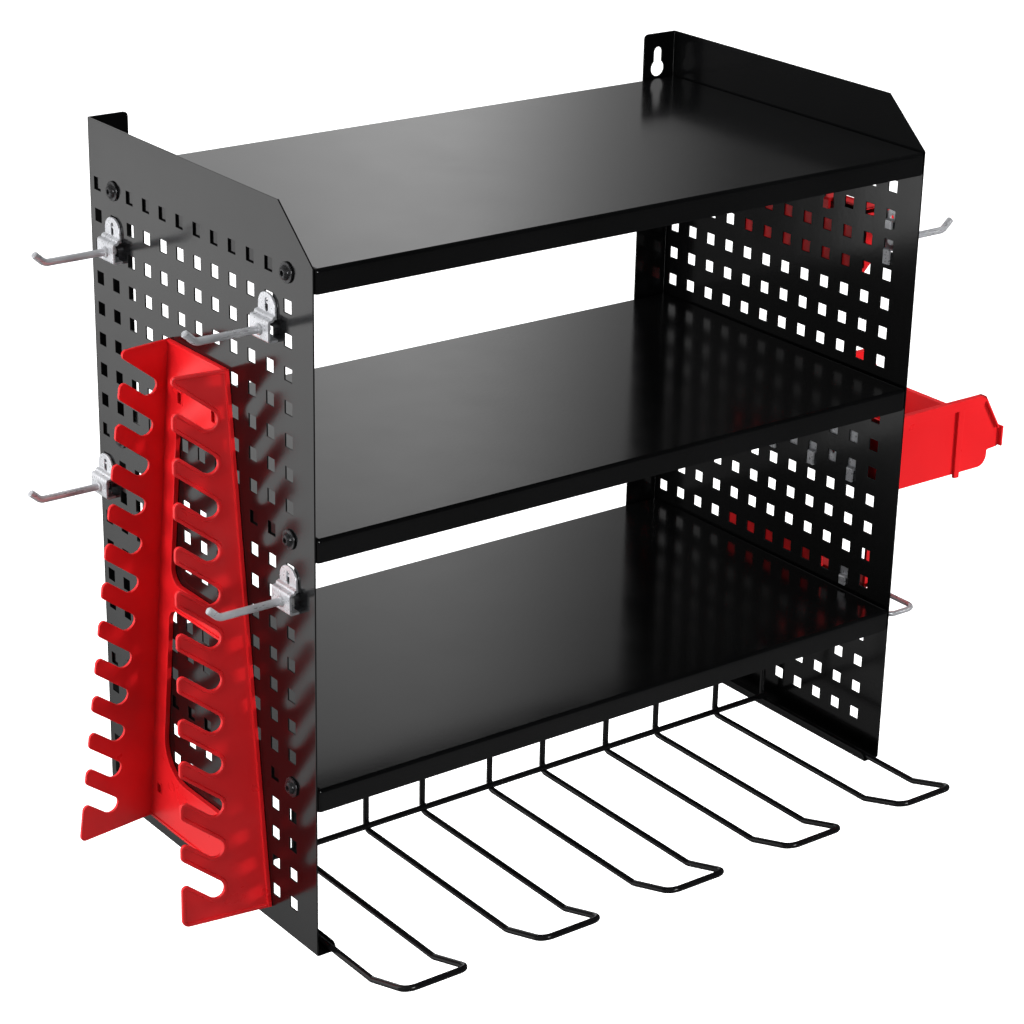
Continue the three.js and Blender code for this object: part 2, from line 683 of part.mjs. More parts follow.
add('bin_bracket', joined(
  box(
    [outside(1, GAP), binY - BRACKET_HALF, rowZ(BIN_ROW) - 8],
    [outside(1, GAP + ZINC_SHEET), binY + BRACKET_HALF, HANG_TOP - 4],
  ),
  box(
    [outside(1, GAP), binY - BRACKET_HALF, bracketShelf],
    [outside(1, lipOut + ZINC_SHEET), binY + BRACKET_HALF, bracketShelf + ZINC_SHEET],
  ),
  box(
    [outside(1, lipOut), binY - BRACKET_HALF, bracketShelf],
    [outside(1, lipOut + ZINC_SHEET), binY + BRACKET_HALF, HANG_TOP - 3.5],
  ),
  ...[-2, 0, 2].map((step) => prong(1, BIN_COLUMN + step, BIN_ROW, { ...zincProng, drop: 10 })),
), 'zinc');

// ---- plastic tool holders on the right panel ------------------------------------------------------
// A ledge with holes in it, a back plate and end gussets. Places are the Y of the ledge's ends and the
// height of its top, with the distances of its back and front edges from the panel.
const LEDGE = 4;                // thickness of a ledge
const LEDGE_LIP = 3;            // the ledge's downturned front edge drops this much further

function ledge({ yFrom, yTo, top, back, front, holes }) {
  const slab = plate(facingZ, [
    new THREE.Vector2(outside(1, back), yFrom),
    new THREE.Vector2(outside(1, front), yFrom),
    new THREE.Vector2(outside(1, front), yTo),
    new THREE.Vector2(outside(1, back), yTo),
  ], top - LEDGE, top, holes);
  const lip = box(
    [outside(1, front - PLASTIC), yFrom, top - LEDGE - LEDGE_LIP],
    [outside(1, front), yTo, top],
  );
  return slab.add(lip);
}

function gusset(y, top, bottom, front) {
  return plate(rightOfPanel, [
    new THREE.Vector2(GAP, top),
    new THREE.Vector2(GAP, bottom),
    new THREE.Vector2(GAP + PLASTIC, bottom),
    new THREE.Vector2(front, top - LEDGE - LEDGE_LIP),
    new THREE.Vector2(front, top),
  ], y, y + PLASTIC);
}

const TOOL_TOP = rowZ(2) - 2;
const TOOL_BOTTOM = TOOL_TOP - 55;
const TOOL_FRONT = 52;
const TOOL_NEAR = -252;         // ends of the ledge, along Y
const TOOL_FAR = -100;
const TOOL_HOLE_YS = [-214, -138];
const TOOL_HOLE_OUT = 27;       // panel to the middle of the oblong holes
const TOOL_HOLE_LENGTH = 54;
const TOOL_HOLE_WIDTH = 26;
add('tool_holder', joined(
  ledge({
    yFrom: TOOL_NEAR,
    yTo: TOOL_FAR,
    top: TOOL_TOP,
    back: GAP,
    front: TOOL_FRONT,
    holes: TOOL_HOLE_YS.map((y) => rectangle(
      outside(1, TOOL_HOLE_OUT - TOOL_HOLE_WIDTH / 2),
      y - TOOL_HOLE_LENGTH / 2,
      outside(1, TOOL_HOLE_OUT + TOOL_HOLE_WIDTH / 2),
      y + TOOL_HOLE_LENGTH / 2,
      TOOL_HOLE_WIDTH / 2 - 1,
    )),
  }),
  box([outside(1, GAP), TOOL_NEAR, TOOL_BOTTOM], [outside(1, GAP + PLASTIC), TOOL_FAR, TOOL_TOP]),
  gusset(TOOL_NEAR, TOOL_TOP, TOOL_BOTTOM, TOOL_FRONT),
  gusset(TOOL_FAR - PLASTIC, TOOL_TOP, TOOL_BOTTOM, TOOL_FRONT),
  prong(1, 5, 2, plasticPeg),
  prong(1, 8, 2, plasticPeg),
), 'redPlastic');

// The driver rack hangs from row 17. Its back plate rises above the ledge to cover row 15. The ledge runs
// on past the plate, clear of the loop holder in the last columns, and ends there in a raised stop.
const DRIVER_TOP = rowZ(15) - 6;
const DRIVER_RISE = 18;         // ledge to the top of the back plate
const DRIVER_BOTTOM = -470;
const DRIVER_FRONT = 37;
const DRIVER_BACK = -100;       // ends of the back plate, along Y
const DRIVER_MIDDLE = -226;
const DRIVER_END = -277;
const DRIVER_CLEAR = 6;         // the ledge's back edge where it passes the loop holder
const DRIVER_HOLE_YS = [4.5, 6, 7.5].map(columnY);
const DRIVER_HOLE_OUT = 20;
const DRIVER_HOLE_RADIUS = 7;
const STOP_TOP = 36;            // ledge to the top of the stop
add('driver_rack', joined(
  ledge({
    yFrom: DRIVER_END,
    yTo: DRIVER_BACK,
    top: DRIVER_TOP,
    back: DRIVER_CLEAR,
    front: DRIVER_FRONT,
    holes: DRIVER_HOLE_YS.map((y) => polygon(outside(1, DRIVER_HOLE_OUT), y, DRIVER_HOLE_RADIUS, 12)),
  }),
  box(
    [outside(1, GAP), DRIVER_MIDDLE, DRIVER_TOP - LEDGE],
    [outside(1, DRIVER_CLEAR + 1), DRIVER_BACK, DRIVER_TOP],
  ),
  box(
    [outside(1, GAP), DRIVER_MIDDLE, DRIVER_BOTTOM],
    [outside(1, GAP + PLASTIC), DRIVER_BACK, DRIVER_TOP + DRIVER_RISE],
  ),
  gusset(DRIVER_BACK - PLASTIC, DRIVER_TOP, DRIVER_BOTTOM, DRIVER_FRONT),
  plate(rightOfPanel, [
    new THREE.Vector2(DRIVER_CLEAR, DRIVER_TOP - LEDGE),
    new THREE.Vector2(DRIVER_FRONT, DRIVER_TOP - LEDGE),
    new THREE.Vector2(DRIVER_FRONT, DRIVER_TOP + 8),
    new THREE.Vector2(DRIVER_CLEAR + 12, DRIVER_TOP + STOP_TOP),
    new THREE.Vector2(DRIVER_CLEAR, DRIVER_TOP + STOP_TOP),
  ], DRIVER_END, DRIVER_END + PLASTIC),
  prong(1, 5, 17, plasticPeg),
  prong(1, 8, 17, plasticPeg),
), 'redPlastic');

// ---- loop holder on the right panel ---------------------------------------------------------------
const RING_COLUMN = 10;
const RING_ROW = 15;
const RING_HALF = 49;
const RING_OUT = 38.4;          // panel to the ring's outer run
const RING_IN = 7.8;            // panel to the run welded to the plate
const RING_Z = -433;
const RING_BEND = 8;
const ringY = columnY(RING_COLUMN);
const RING_WIRE = 5;
const padOut = RING_IN - RING_WIRE / 2 - GAP;
const RING_JOIN = 3;            // the ring's two ends meet this far apart on the plate
add('ring_plate', joined(
  plate(
    facingX,
    outline([
      [ringY - 12, RING_Z - 7],
      [ringY + 12, RING_Z - 7],
      [ringY + 12, rowZ(RING_ROW) + 5, 9],
      [ringY - 12, rowZ(RING_ROW) + 5, 9],
    ], 4),
    outside(1, GAP),
    outside(1, GAP + ZINC_SHEET),
  ),
  box([outside(1, GAP), ringY - 12, RING_Z - 7], [outside(1, padOut), ringY + 12, RING_Z + 7]),
  prong(1, RING_COLUMN, RING_ROW, { ...zincProng, drop: 6 }),
), 'zinc');
add('ring_wire', wire([
  [outside(1, RING_IN), ringY - RING_JOIN, RING_Z],
  [outside(1, RING_IN), ringY - RING_HALF, RING_Z, RING_BEND],
  [outside(1, RING_OUT), ringY - RING_HALF, RING_Z, RING_BEND],
  [outside(1, RING_OUT), ringY + RING_HALF, RING_Z, RING_BEND],
  [outside(1, RING_IN), ringY + RING_HALF, RING_Z, RING_BEND],
  [outside(1, RING_IN), ringY + RING_JOIN, RING_Z],
], RING_WIRE), 'zinc');

export default rack;
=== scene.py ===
"""The looks of a wall-hung power tool rack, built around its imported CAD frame.

Lengths are millimetres until metres() turns them into the frame's unit; only the studio is laid out in
metres. Each piece takes its place from the box of the CAD node that it stands for.
"""
import math

import bmesh
import bpy
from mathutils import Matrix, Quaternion, Vector


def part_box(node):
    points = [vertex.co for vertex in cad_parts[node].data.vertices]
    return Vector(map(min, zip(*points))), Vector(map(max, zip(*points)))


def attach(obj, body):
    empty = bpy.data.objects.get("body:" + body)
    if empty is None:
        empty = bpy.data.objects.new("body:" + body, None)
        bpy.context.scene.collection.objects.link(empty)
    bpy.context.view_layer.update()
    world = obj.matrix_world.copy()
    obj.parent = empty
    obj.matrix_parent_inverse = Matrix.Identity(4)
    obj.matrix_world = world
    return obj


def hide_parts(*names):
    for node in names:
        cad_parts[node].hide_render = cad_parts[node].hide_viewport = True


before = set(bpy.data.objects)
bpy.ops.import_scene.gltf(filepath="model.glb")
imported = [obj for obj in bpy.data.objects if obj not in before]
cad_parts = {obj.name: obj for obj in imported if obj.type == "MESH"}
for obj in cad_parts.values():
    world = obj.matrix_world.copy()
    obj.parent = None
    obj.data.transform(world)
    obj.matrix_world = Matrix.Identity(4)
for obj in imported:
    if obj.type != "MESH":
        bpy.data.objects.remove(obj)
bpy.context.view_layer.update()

MM = 0.001

# ---- places taken from the frame ----


def node_box(node):
    """A node's lowest and highest corner in millimetres."""
    low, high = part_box(node)
    return low / MM, high / MM


def node_centre(node):
    low, high = node_box(node)
    return (low + high) / 2


PANEL_LOW, PANEL_HIGH = node_box("right_panel")
HALF_WIDTH = PANEL_HIGH.x
FRONT, WALL = PANEL_LOW.y, PANEL_HIGH.y
BOTTOM, TOP = PANEL_LOW.z, PANEL_HIGH.z

BACK_BOLT = node_centre("bolt_top_left_back")      # column 1, row 0
FRONT_BOLT = node_centre("bolt_top_left_front")    # column 11, row 0
MIDDLE_BOLT = node_centre("bolt_middle_left_back")  # column 1, row 8
ROWS, COLUMNS = 21, 12
BOLT_ROWS, BOLT_COLUMNS = (0, 8, 16), (1, 11)
ROW_PITCH = (BACK_BOLT.z - MIDDLE_BOLT.z) / 8
COLUMN_PITCH = (BACK_BOLT.y - FRONT_BOLT.y) / 10
HOLE = 10
SHEET = 1.2
BEND = 1.6                    # outer radius of a fold in the sheet
PLAY = 0.3                    # clearance between pieces


def row_z(row):
    return BACK_BOLT.z - ROW_PITCH * row


def column_y(column):
    return BACK_BOLT.y - COLUMN_PITCH * (column - 1)


def metres(x, y, z):
    return Vector((x, y, z)) * MM


def outside(side, out):
    """The X of a place at a distance from a panel's outer face: side is -1 for the left panel."""
    return side * (HALF_WIDTH + out)


# A plate's outline has axes a and b, and its thickness runs along c. These say where a plate lies.

def facing(side, out, y=0, z=0):
    """Flat against a panel: a along Y, b upward, c away from the panel."""
    return lambda a, b, c: metres(outside(side, out + c), y + a, z + b)


def upright(side, start, z=0):
    """Square to a panel: a away from it, b upward, c along Y from a start."""
    return lambda a, b, c: metres(outside(side, a), start + c, z + b)


def level(height):
    """Lying level beside the right panel: a away from it, b along Y, c upward from a height."""
    return lambda a, b, c: metres(outside(1, a), b, height + c)


# ---- materials ----


def new_material(name, settings):
    """A material, its node tree and its shader, with given values set on the shader."""
    material = bpy.data.materials.new(name)
    material.use_nodes = True
    tree = material.node_tree
    shader = tree.nodes["Principled BSDF"]
    for label, value in settings.items():
        shader.inputs[label].default_value = value
    return material, tree, shader


def noise(tree, scale, detail, stretch=(1, 1, 1)):
    """Procedural noise in object space. Returns the socket with its value."""
    place = tree.nodes.new("ShaderNodeTexCoord")
    mapping = tree.nodes.new("ShaderNodeMapping")
    mapping.inputs["Scale"].default_value = stretch
    texture = tree.nodes.new("ShaderNodeTexNoise")
    texture.inputs["Scale"].default_value = scale
    texture.inputs["Detail"].default_value = detail
    tree.links.new(place.outputs["Object"], mapping.inputs["Vector"])
    tree.links.new(mapping.outputs["Vector"], texture.inputs["Vector"])
    return texture.outputs["Fac"]


def ranged(tree, value, low, high, from_low=0.3, from_high=0.7):
    """The value spread from its own range, which is that of noise unless given, to low..high."""
    spread = tree.nodes.new("ShaderNodeMapRange")
    spread.inputs["From Min"].default_value = from_low
    spread.inputs["From Max"].default_value = from_high
    spread.inputs["To Min"].default_value = low
    spread.inputs["To Max"].default_value = high
    tree.links.new(value, spread.inputs["Value"])
    return spread.outputs["Result"]


def mixed(tree, factor, first, second, blend="MIX"):
    """Two colours mixed. Each is a colour or a socket, and so is the factor."""
    mix = tree.nodes.new("ShaderNodeMix")
    mix.data_type = "RGBA"
    mix.blend_type = blend
    for label, value in (("Factor", factor), ("A", first), ("B", second)):
        if isinstance(value, bpy.types.NodeSocket):
            tree.links.new(value, mix.inputs[label])
        else:
            mix.inputs[label].default_value = value
    return mix.outputs["Result"]


def surface(name, tints, tint_noise, shine, shine_noise, grain, **settings):
    """A material mottled between two tints, its roughness drifting between two values, with a grain of
    bumps as (noise, strength, depth in metres). Each noise is a tuple of noise()'s arguments."""
    material, tree, shader = new_material(name, settings)
    share = ranged(tree, noise(tree, *tint_noise), 0, 1)
    dark, light = ((*tint, 1) for tint in tints)
    tree.links.new(mixed(tree, share, dark, light), shader.inputs["Base Color"])
    tree.links.new(ranged(tree, noise(tree, *shine_noise), *shine), shader.inputs["Roughness"])
    before = None
    for bump_noise, strength, depth in grain:
        bump = tree.nodes.new("ShaderNodeBump")
        bump.inputs["Strength"].default_value = strength
        bump.inputs["Distance"].default_value = depth
        tree.links.new(noise(tree, *bump_noise), bump.inputs["Height"])
        if before is not None:
            tree.links.new(before.outputs["Normal"], bump.inputs["Normal"])
        before = bump
    tree.links.new(before.outputs["Normal"], shader.inputs["Normal"])
    return material


def powder_coat():
    """Glossy black powder coat: deep black, with a faint orange peel and slow changes in its shine."""
    tints = (0.0018, 0.0019, 0.0020), (0.0030, 0.0031, 0.0033)
    grain = [((260, 1), 0.05, 0.0003), ((1500, 2), 0.05, 0.0001)]
    return surface("black_powder_coat", tints, (9, 3), (0.13, 0.17), (22, 4), grain, IOR=1.6)


def wire_coat():
    """The same coat on round wire, a little uneven along the wire."""
    tints = (0.003, 0.003, 0.0033), (0.005, 0.005, 0.0055)
    grain = [((400, 2), 0.06, 0.0003)]
    return surface("black_wire_coat", tints, (60, 3), (0.18, 0.26), (90, 3), grain, IOR=1.55)


def black_oxide():
    """Glossy black-oxide steel of the bolts and nuts."""
    tints = (0.035, 0.035, 0.037), (0.075, 0.075, 0.078)
    grain = [((1500, 2), 0.08, 0.0002)]
    return surface("black_oxide_steel", tints, (350, 3), (0.2, 0.36), (900, 3), grain, Metallic=0.75)


def zinc_plate():
    """Bright zinc over drawn wire and pressed strip: faint streaks and a mottled shine."""
    tints = (0.62, 0.63, 0.66), (0.76, 0.77, 0.80)
    streaks = (420, 3, (0.15, 1, 1))
    grain = [(streaks, 0.04, 0.0001), ((60, 2), 0.015, 0.0003)]
    return surface("bright_zinc", tints, (90, 3), (0.24, 0.38), streaks, grain, Metallic=0.6)


def red_plastic():
    """Glossy moulded red plastic with slight flow clouding and a very fine surface grain."""
    tints = (0.66, 0.0090, 0.0125), (0.74, 0.0130, 0.0165)
    grain = [((30, 2), 0.06, 0.001), ((1600, 2), 0.05, 0.0001)]
    return surface("moulded_red_plastic", tints, (12, 3), (0.27, 0.36), (40, 4), grain)


COAT = powder_coat()
WIRE_COAT = wire_coat()
OXIDE = black_oxide()
ZINC = zinc_plate()
RED = red_plastic()

# ---- mesh tools ----
ARC_STEPS = 8
SHARP_ANGLE = math.radians(32)


def corner_arc(before, here, after, radius, steps):
    """The points that round the corner at here, which lies between two others."""
    arriving = (before - here).normalized()
    leaving = (after - here).normalized()
    half = arriving.angle(leaving) / 2
    middle = here + (arriving + leaving).normalized() * (radius / math.sin(half))
    start = here + arriving * (radius / math.tan(half)) - middle
    end = here + leaving * (radius / math.tan(half)) - middle
    total = start.angle(end)
    points = []
    for step in range(steps + 1):
        turn = total * step / steps
        points.append(middle + (start * math.sin(total - turn) + end * math.sin(turn)) / math.sin(total))
    return points


def rounded(corners, steps=ARC_STEPS, axes=2):
    """A path through corners (a, b) or (a, b, radius), or (x, y, z) and (x, y, z, radius) with three
    axes: a radius becomes an arc. The ends of an open path have none."""
    points = []
    for index, corner in enumerate(corners):
        here = Vector(corner[:axes])
        if len(corner) == axes or corner[axes] == 0:
            points.append(here)
            continue
        before = Vector(corners[index - 1][:axes])
        after = Vector(corners[(index + 1) % len(corners)][:axes])
        points += corner_arc(before, here, after, corner[axes], steps)
    return points


def rectangle(a_from, b_from, a_to, b_to, radii=0, steps=ARC_STEPS):
    """A rectangle's outline: radii is one for all corners, or four going round from (a_from, b_from)."""
    radii = radii if isinstance(radii, tuple) else (radii,) * 4
    places = (a_from, b_from), (a_to, b_from), (a_to, b_to), (a_from, b_to)
    return rounded([(*place, radius) for place, radius in zip(places, radii)], steps)


def arc(a, b, radius, start, turn, steps):
    """Points on an arc about (a, b), from a start angle on, both ends included."""
    angles = [start + turn * step / steps for step in range(steps + 1)]
    return [Vector((a + radius * math.cos(angle), b + radius * math.sin(angle))) for angle in angles]


def circle(a, b, radius, sides=32):
    return arc(a, b, radius, 0, 2 * math.pi, sides)[:-1]


def thickened(path, thickness):
    """The closed outline of a strip whose one face follows a path, with its thickness to the right."""
    other = []
    for index, point in enumerate(path):
        before = path[max(index - 1, 0)]
        after = path[min(index + 1, len(path) - 1)]
        along = (after - before).normalized()
        arriving = (point - before).normalized() if index > 0 else along
        mitre = max(along.dot(arriving), 0.5)
        other.append(point + Vector((along.y, -along.x)) * (thickness / mitre))
    return list(path) + other[::-1]


def bevel(bm, width, segments):
    """Rounds the edges where two faces meet at more than the sharp angle."""
    edges = [edge for edge in bm.edges
             if len(edge.link_faces) == 2 and edge.calc_face_angle(0) > SHARP_ANGLE]
    bmesh.ops.bevel(bm, geom=edges, offset=width, offset_type="OFFSET", segments=segments, profile=0.6,
                    affect="EDGES", clamp_overlap=True)


def mesh_of(bm, name, recalc=True):
    """The finished mesh of a piece, with its faces turned outward."""
    if recalc:
        bmesh.ops.recalc_face_normals(bm, faces=bm.faces[:])
    mesh = bpy.data.meshes.new(name)
    bm.to_mesh(mesh)
    bm.free()
    return mesh


def absorb(bm, part, place):
    """Adds a part, in local millimetres, to the piece, with every point sent through place(a, b, c)."""
    for vert in part.verts:
        vert.co = place(*vert.co)
    mesh = mesh_of(part, "part", recalc=False)
    bm.from_mesh(mesh)
    bpy.data.meshes.remove(mesh)


def slab(bm, outline, thickness, place, holes=(), edge=0.4, segments=2, bead=None):
    """A plate: an outline with holes, thick from c = 0 to c = thickness, with rounded edges. bead is
    (width, height) of a raised border on the c = thickness face of a plate without holes."""
    part = bmesh.new()
    loops = [[part.verts.new((*point, 0)) for point in loop] for loop in (outline, *holes)]
    if holes:
        edges = [part.edges.new((verts[k - 1], verts[k])) for verts in loops for k in range(len(verts))]
        filled = bmesh.ops.triangle_fill(part, use_beauty=True, edges=edges)["geom"]
        faces = [item for item in filled if isinstance(item, bmesh.types.BMFace)]
    else:
        faces = [part.faces.new(loops[0])]
    made = bmesh.ops.extrude_face_region(part, geom=faces, use_keep_orig=True)["geom"]
    moved = [item for item in made if isinstance(item, bmesh.types.BMVert)]
    bmesh.ops.translate(part, verts=moved, vec=(0, 0, thickness))
    if bead is not None:
        top = [item for item in made if isinstance(item, bmesh.types.BMFace)
               and all(vert in moved for vert in item.verts)]
        width, height = bead
        bmesh.ops.recalc_face_normals(part, faces=part.faces[:])
        bmesh.ops.inset_individual(part, faces=top, thickness=width, use_even_offset=True)
        bmesh.ops.inset_individual(part, faces=top, thickness=height * 0.3, depth=-height,
                                   use_even_offset=True)
    bmesh.ops.recalc_face_normals(part, faces=part.faces[:])
    if edge > 0:
        bevel(part, edge, segments)
    absorb(bm, part, place)


def tube(bm, rings, capped=True):
    """Quads between neighbouring rings of vertices, and a face at each end."""
    for low, high in zip(rings, rings[1:]):
        for k in range(len(low)):
            bm.faces.new((low[k - 1], low[k], high[k], high[k - 1]))
    if capped:
        bm.faces.new(rings[0][::-1])
        bm.faces.new(rings[-1])


def wire(bm, points, radius, sides=20, tip=0.5):
    """A round wire along points, its ends finished with a small chamfer of size tip."""
    first = (points[1] - points[0]).normalized()
    last = (points[-1] - points[-2]).normalized()
    stations = [(points[0], first, radius - tip), (points[0] + first * tip, first, radius)]
    for before, here, after in zip(points, points[1:], points[2:]):
        along = ((here - before).normalized() + (after - here).normalized()).normalized()
        stations.append((here, along, radius))
    stations += [(points[-1] - last * tip, last, radius), (points[-1], last, radius - tip)]
    side = first.orthogonal().normalized()
    rings = []
    for place, along, size in stations:
        side = (side - along * side.dot(along)).normalized()
        ring = circle(0, 0, size, sides)
        up = along.cross(side)
        rings.append([bm.verts.new((place + side * spot.x + up * spot.y) * MM) for spot in ring])
    tube(bm, rings)


def turned(bm, stations, place, sides=48, capped=True):
    """A turned piece. Each station is (height, radius) or (height, radius function of the angle)."""
    rings = []
    for height, radius in stations:
        ring = []
        for k in range(sides):
            angle = 2 * math.pi * k / sides
            size = radius(angle) if callable(radius) else radius
            ring.append(bm.verts.new(place(size * math.cos(angle), size * math.sin(angle), height)))
        rings.append(ring)
    tube(bm, rings, capped)


def hexagon(across_flats, limit=1000.0):
    """The radius of a hexagon as a function of the angle, cut off at a largest radius."""
    def radius(angle):
        folded = (angle + math.pi / 6) % (math.pi / 3) - math.pi / 6
        return min(across_flats / 2 / math.cos(folded), limit)
    return radius


def linked(name, data, place=(0, 0, 0)):
    """A new object in the scene."""
    piece = bpy.data.objects.new(name, data)
    piece.location = place
    bpy.context.scene.collection.objects.link(piece)
    return piece


def placed(name, mesh, material, body, node, at=(0, 0, 0)):
    """The mesh as a piece that rides on its body and stands for its CAD node."""
    mesh.materials.clear()
    mesh.materials.append(material)
    mesh.polygons.foreach_set("use_smooth", [True] * len(mesh.polygons))
    mesh.set_sharp_from_angle(angle=math.radians(38))
    piece = linked(name, mesh, at)
    shading = piece.modifiers.new("even_shading", "WEIGHTED_NORMAL")
    shading.keep_sharp = True
    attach(piece, body)
    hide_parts(node)


def finished(name, bm, material, body, node, recalc=True):
    placed(name, mesh_of(bm, name, recalc), material, body, node)


# ---- folded sheet ----
FOLD_STEPS = 5
FOLD_TURNS = [math.pi / 2 * step / FOLD_STEPS for step in range(1, FOLD_STEPS + 1)]
# A right-angle fold's stations as (distance on past the flat, distance turned inward).
FOLD = [(BEND * math.sin(turn), BEND * (1 - math.cos(turn))) for turn in FOLD_TURNS]
BROKEN_EDGE = 0.22            # width of the bevel along the sheet's cut edges


def grid(bm, across, down, position, wanted, flip=False):
    """Quads between stations: position(i, j) gives a corner and wanted(i, j) says if a cell is made."""
    corners = {}

    def corner(i, j):
        if (i, j) not in corners:
            corners[i, j] = bm.verts.new(position(i, j))
        return corners[i, j]

    for i in range(across - 1):
        for j in range(down - 1):
            if wanted(i, j):
                ring = [corner(i, j), corner(i, j + 1), corner(i + 1, j + 1), corner(i + 1, j)]
                bm.faces.new(ring[::-1] if flip else ring)


def sheet_mesh(bm, cutter=None):
    """The mesh of a folded sheet: given its thickness, cut by the cutter, its sharp edges broken."""
    finish = [("SOLIDIFY", {"thickness": SHEET * MM, "offset": -1, "use_even_offset": True,
                            "use_quality_normals": True})]
    if cutter:
        finish.append(("BOOLEAN", {"operation": "DIFFERENCE", "solver": "EXACT", "object": cutter}))
    finish.append(("BEVEL", {"width": BROKEN_EDGE * MM, "segments": 2, "limit_method": "ANGLE",
                             "angle_limit": math.radians(50)}))
    blank = linked("blank", mesh_of(bm, "blank", recalc=False))
    for kind, values in finish:
        modifier = blank.modifiers.new(kind, kind)
        for key, value in values.items():
            setattr(modifier, key, value)
    graph = bpy.context.evaluated_depsgraph_get()
    mesh = bpy.data.meshes.new_from_object(blank.evaluated_get(graph))
    bpy.data.objects.remove(blank)
    if cutter:
        bpy.data.objects.remove(cutter)
    return mesh


# ---- side panels ----
BACK_FLANGE = PANEL_HIGH.x - PANEL_LOW.x
FOOT_FLANGE = 17
FOOT_LIP = 7
CHAMFER_DEPTH, CHAMFER_HEIGHT = 44, 38.8
FLANGE_ROUND = 4
LIP_ROUND = 5
KEYHOLE_INSET, KEYHOLE_DROP = 19.2, 14.5
KEYHOLE_SLOT, KEYHOLE_HEAD = 8.6, 14.4
CUTTER = 20                   # depth of the solid that cuts the keyhole


def hole_edges(centres):
    return sorted(edge for centre in centres for edge in (centre - HOLE / 2, centre + HOLE / 2))


def perforated(row, column):
    """Whether a place of the pattern is a square hole: the bolts take the others."""
    bolted = row in BOLT_ROWS and column in BOLT_COLUMNS
    return 0 <= row < ROWS and 0 <= column < COLUMNS and not bolted


def keyhole_cutter(side):
    """The keyhole as a solid: a round head with a narrower slot rising to the height of the origin."""
    slot, head = KEYHOLE_SLOT / 2, KEYHOLE_HEAD / 2
    neck = math.asin(slot / head)
    outline = arc(0, -KEYHOLE_DROP, head, math.pi / 2 + neck, 2 * (math.pi - neck), 24)
    outline += arc(0, 0, slot, 0, math.pi, 12)
    middle = side * (HALF_WIDTH - KEYHOLE_INSET)
    bm = bmesh.new()
    slab(bm, outline, CUTTER, lambda a, b, c: metres(middle + a, WALL - CUTTER / 2 + c, b), edge=0)
    return linked("keyhole", mesh_of(bm, "keyhole"))


def side_panel(side, name):
    """One bent sheet: perforated side, back flange with a keyhole, foot flange with an upturned lip."""
    # Stations from front to back as (y, inward), then round the back fold and along the back flange.
    front_round = [FRONT + LIP_ROUND * (1 - math.cos(math.radians(angle))) for angle in (0, 30, 50, 70, 90)]
    chamfer_end = FRONT + CHAMFER_DEPTH
    flat = front_round + hole_edges(column_y(column) for column in range(COLUMNS)) + [chamfer_end]
    depth = [(y, 0) for y in sorted(flat)] + [(WALL - BEND, 0)]
    fold_from = len(depth) - 1
    depth += [(WALL - BEND + on, inward) for on, inward in FOLD]
    depth.append((WALL, BACK_FLANGE - FLANGE_ROUND))
    flange_arc = [math.radians(angle) for angle in (30, 60, 90)]
    depth += [(WALL, BACK_FLANGE - FLANGE_ROUND + FLANGE_ROUND * math.sin(angle)) for angle in flange_arc]

    # Stations from top to bottom as (z, inward), then round the foot fold, along the foot and up the lip.
    height = [(TOP, 0)] + [(z, 0) for z in hole_edges(row_z(row) for row in range(ROWS))[::-1]]
    height.append((BOTTOM + BEND, 0))
    foot_from = len(height) - 1
    height += [(BOTTOM + BEND - on, inward) for on, inward in FOLD]
    height.append((BOTTOM, FOOT_FLANGE - BEND))
    height += [(BOTTOM + inward, FOOT_FLANGE - BEND + on) for on, inward in FOLD]
    height.append((BOTTOM + FOOT_LIP, FOOT_FLANGE))

    def top_at(y, inward):
        if y < chamfer_end:
            return TOP - CHAMFER_HEIGHT * (chamfer_end - y) / CHAMFER_DEPTH
        past = inward - (BACK_FLANGE - FLANGE_ROUND)
        return TOP - (FLANGE_ROUND - math.sqrt(max(FLANGE_ROUND**2 - past**2, 0)) if past > 0 else 0)

    def position(i, j):
        y, inward = depth[i]
        z, foot = height[j]
        if j == 0:
            z = top_at(y, inward)
        if j == foot_from and inward > BACK_FLANGE - FLANGE_ROUND:
            z += TOP - top_at(y, inward)
        if j == len(height) - 1 and y < FRONT + LIP_ROUND:
            z -= LIP_ROUND - math.sqrt(LIP_ROUND**2 - (FRONT + LIP_ROUND - y) ** 2)
        return metres(side * (HALF_WIDTH - inward - foot), y, z)

    def wanted(i, j):
        if i >= fold_from and j >= foot_from:
            return False
        y = (depth[i][0] + depth[i + 1][0]) / 2
        z = (height[j][0] + height[j + 1][0]) / 2
        column = round((BACK_BOLT.y - y) / COLUMN_PITCH) + 1
        row = round((BACK_BOLT.z - z) / ROW_PITCH)
        inside = abs(y - column_y(column)) < HOLE / 2 and abs(z - row_z(row)) < HOLE / 2
        return not (inside and i < fold_from and perforated(row, column))

    bm = bmesh.new()
    grid(bm, len(depth), len(height), position, wanted, flip=side < 0)
    placed(name + "_sheet", sheet_mesh(bm, keyhole_cutter(side)), COAT, "root", name)


side_panel(-1, "left_panel")
side_panel(1, "right_panel")

# ---- shelves ----
RETURN = 3                    # the front lip's ends are turned back by this much


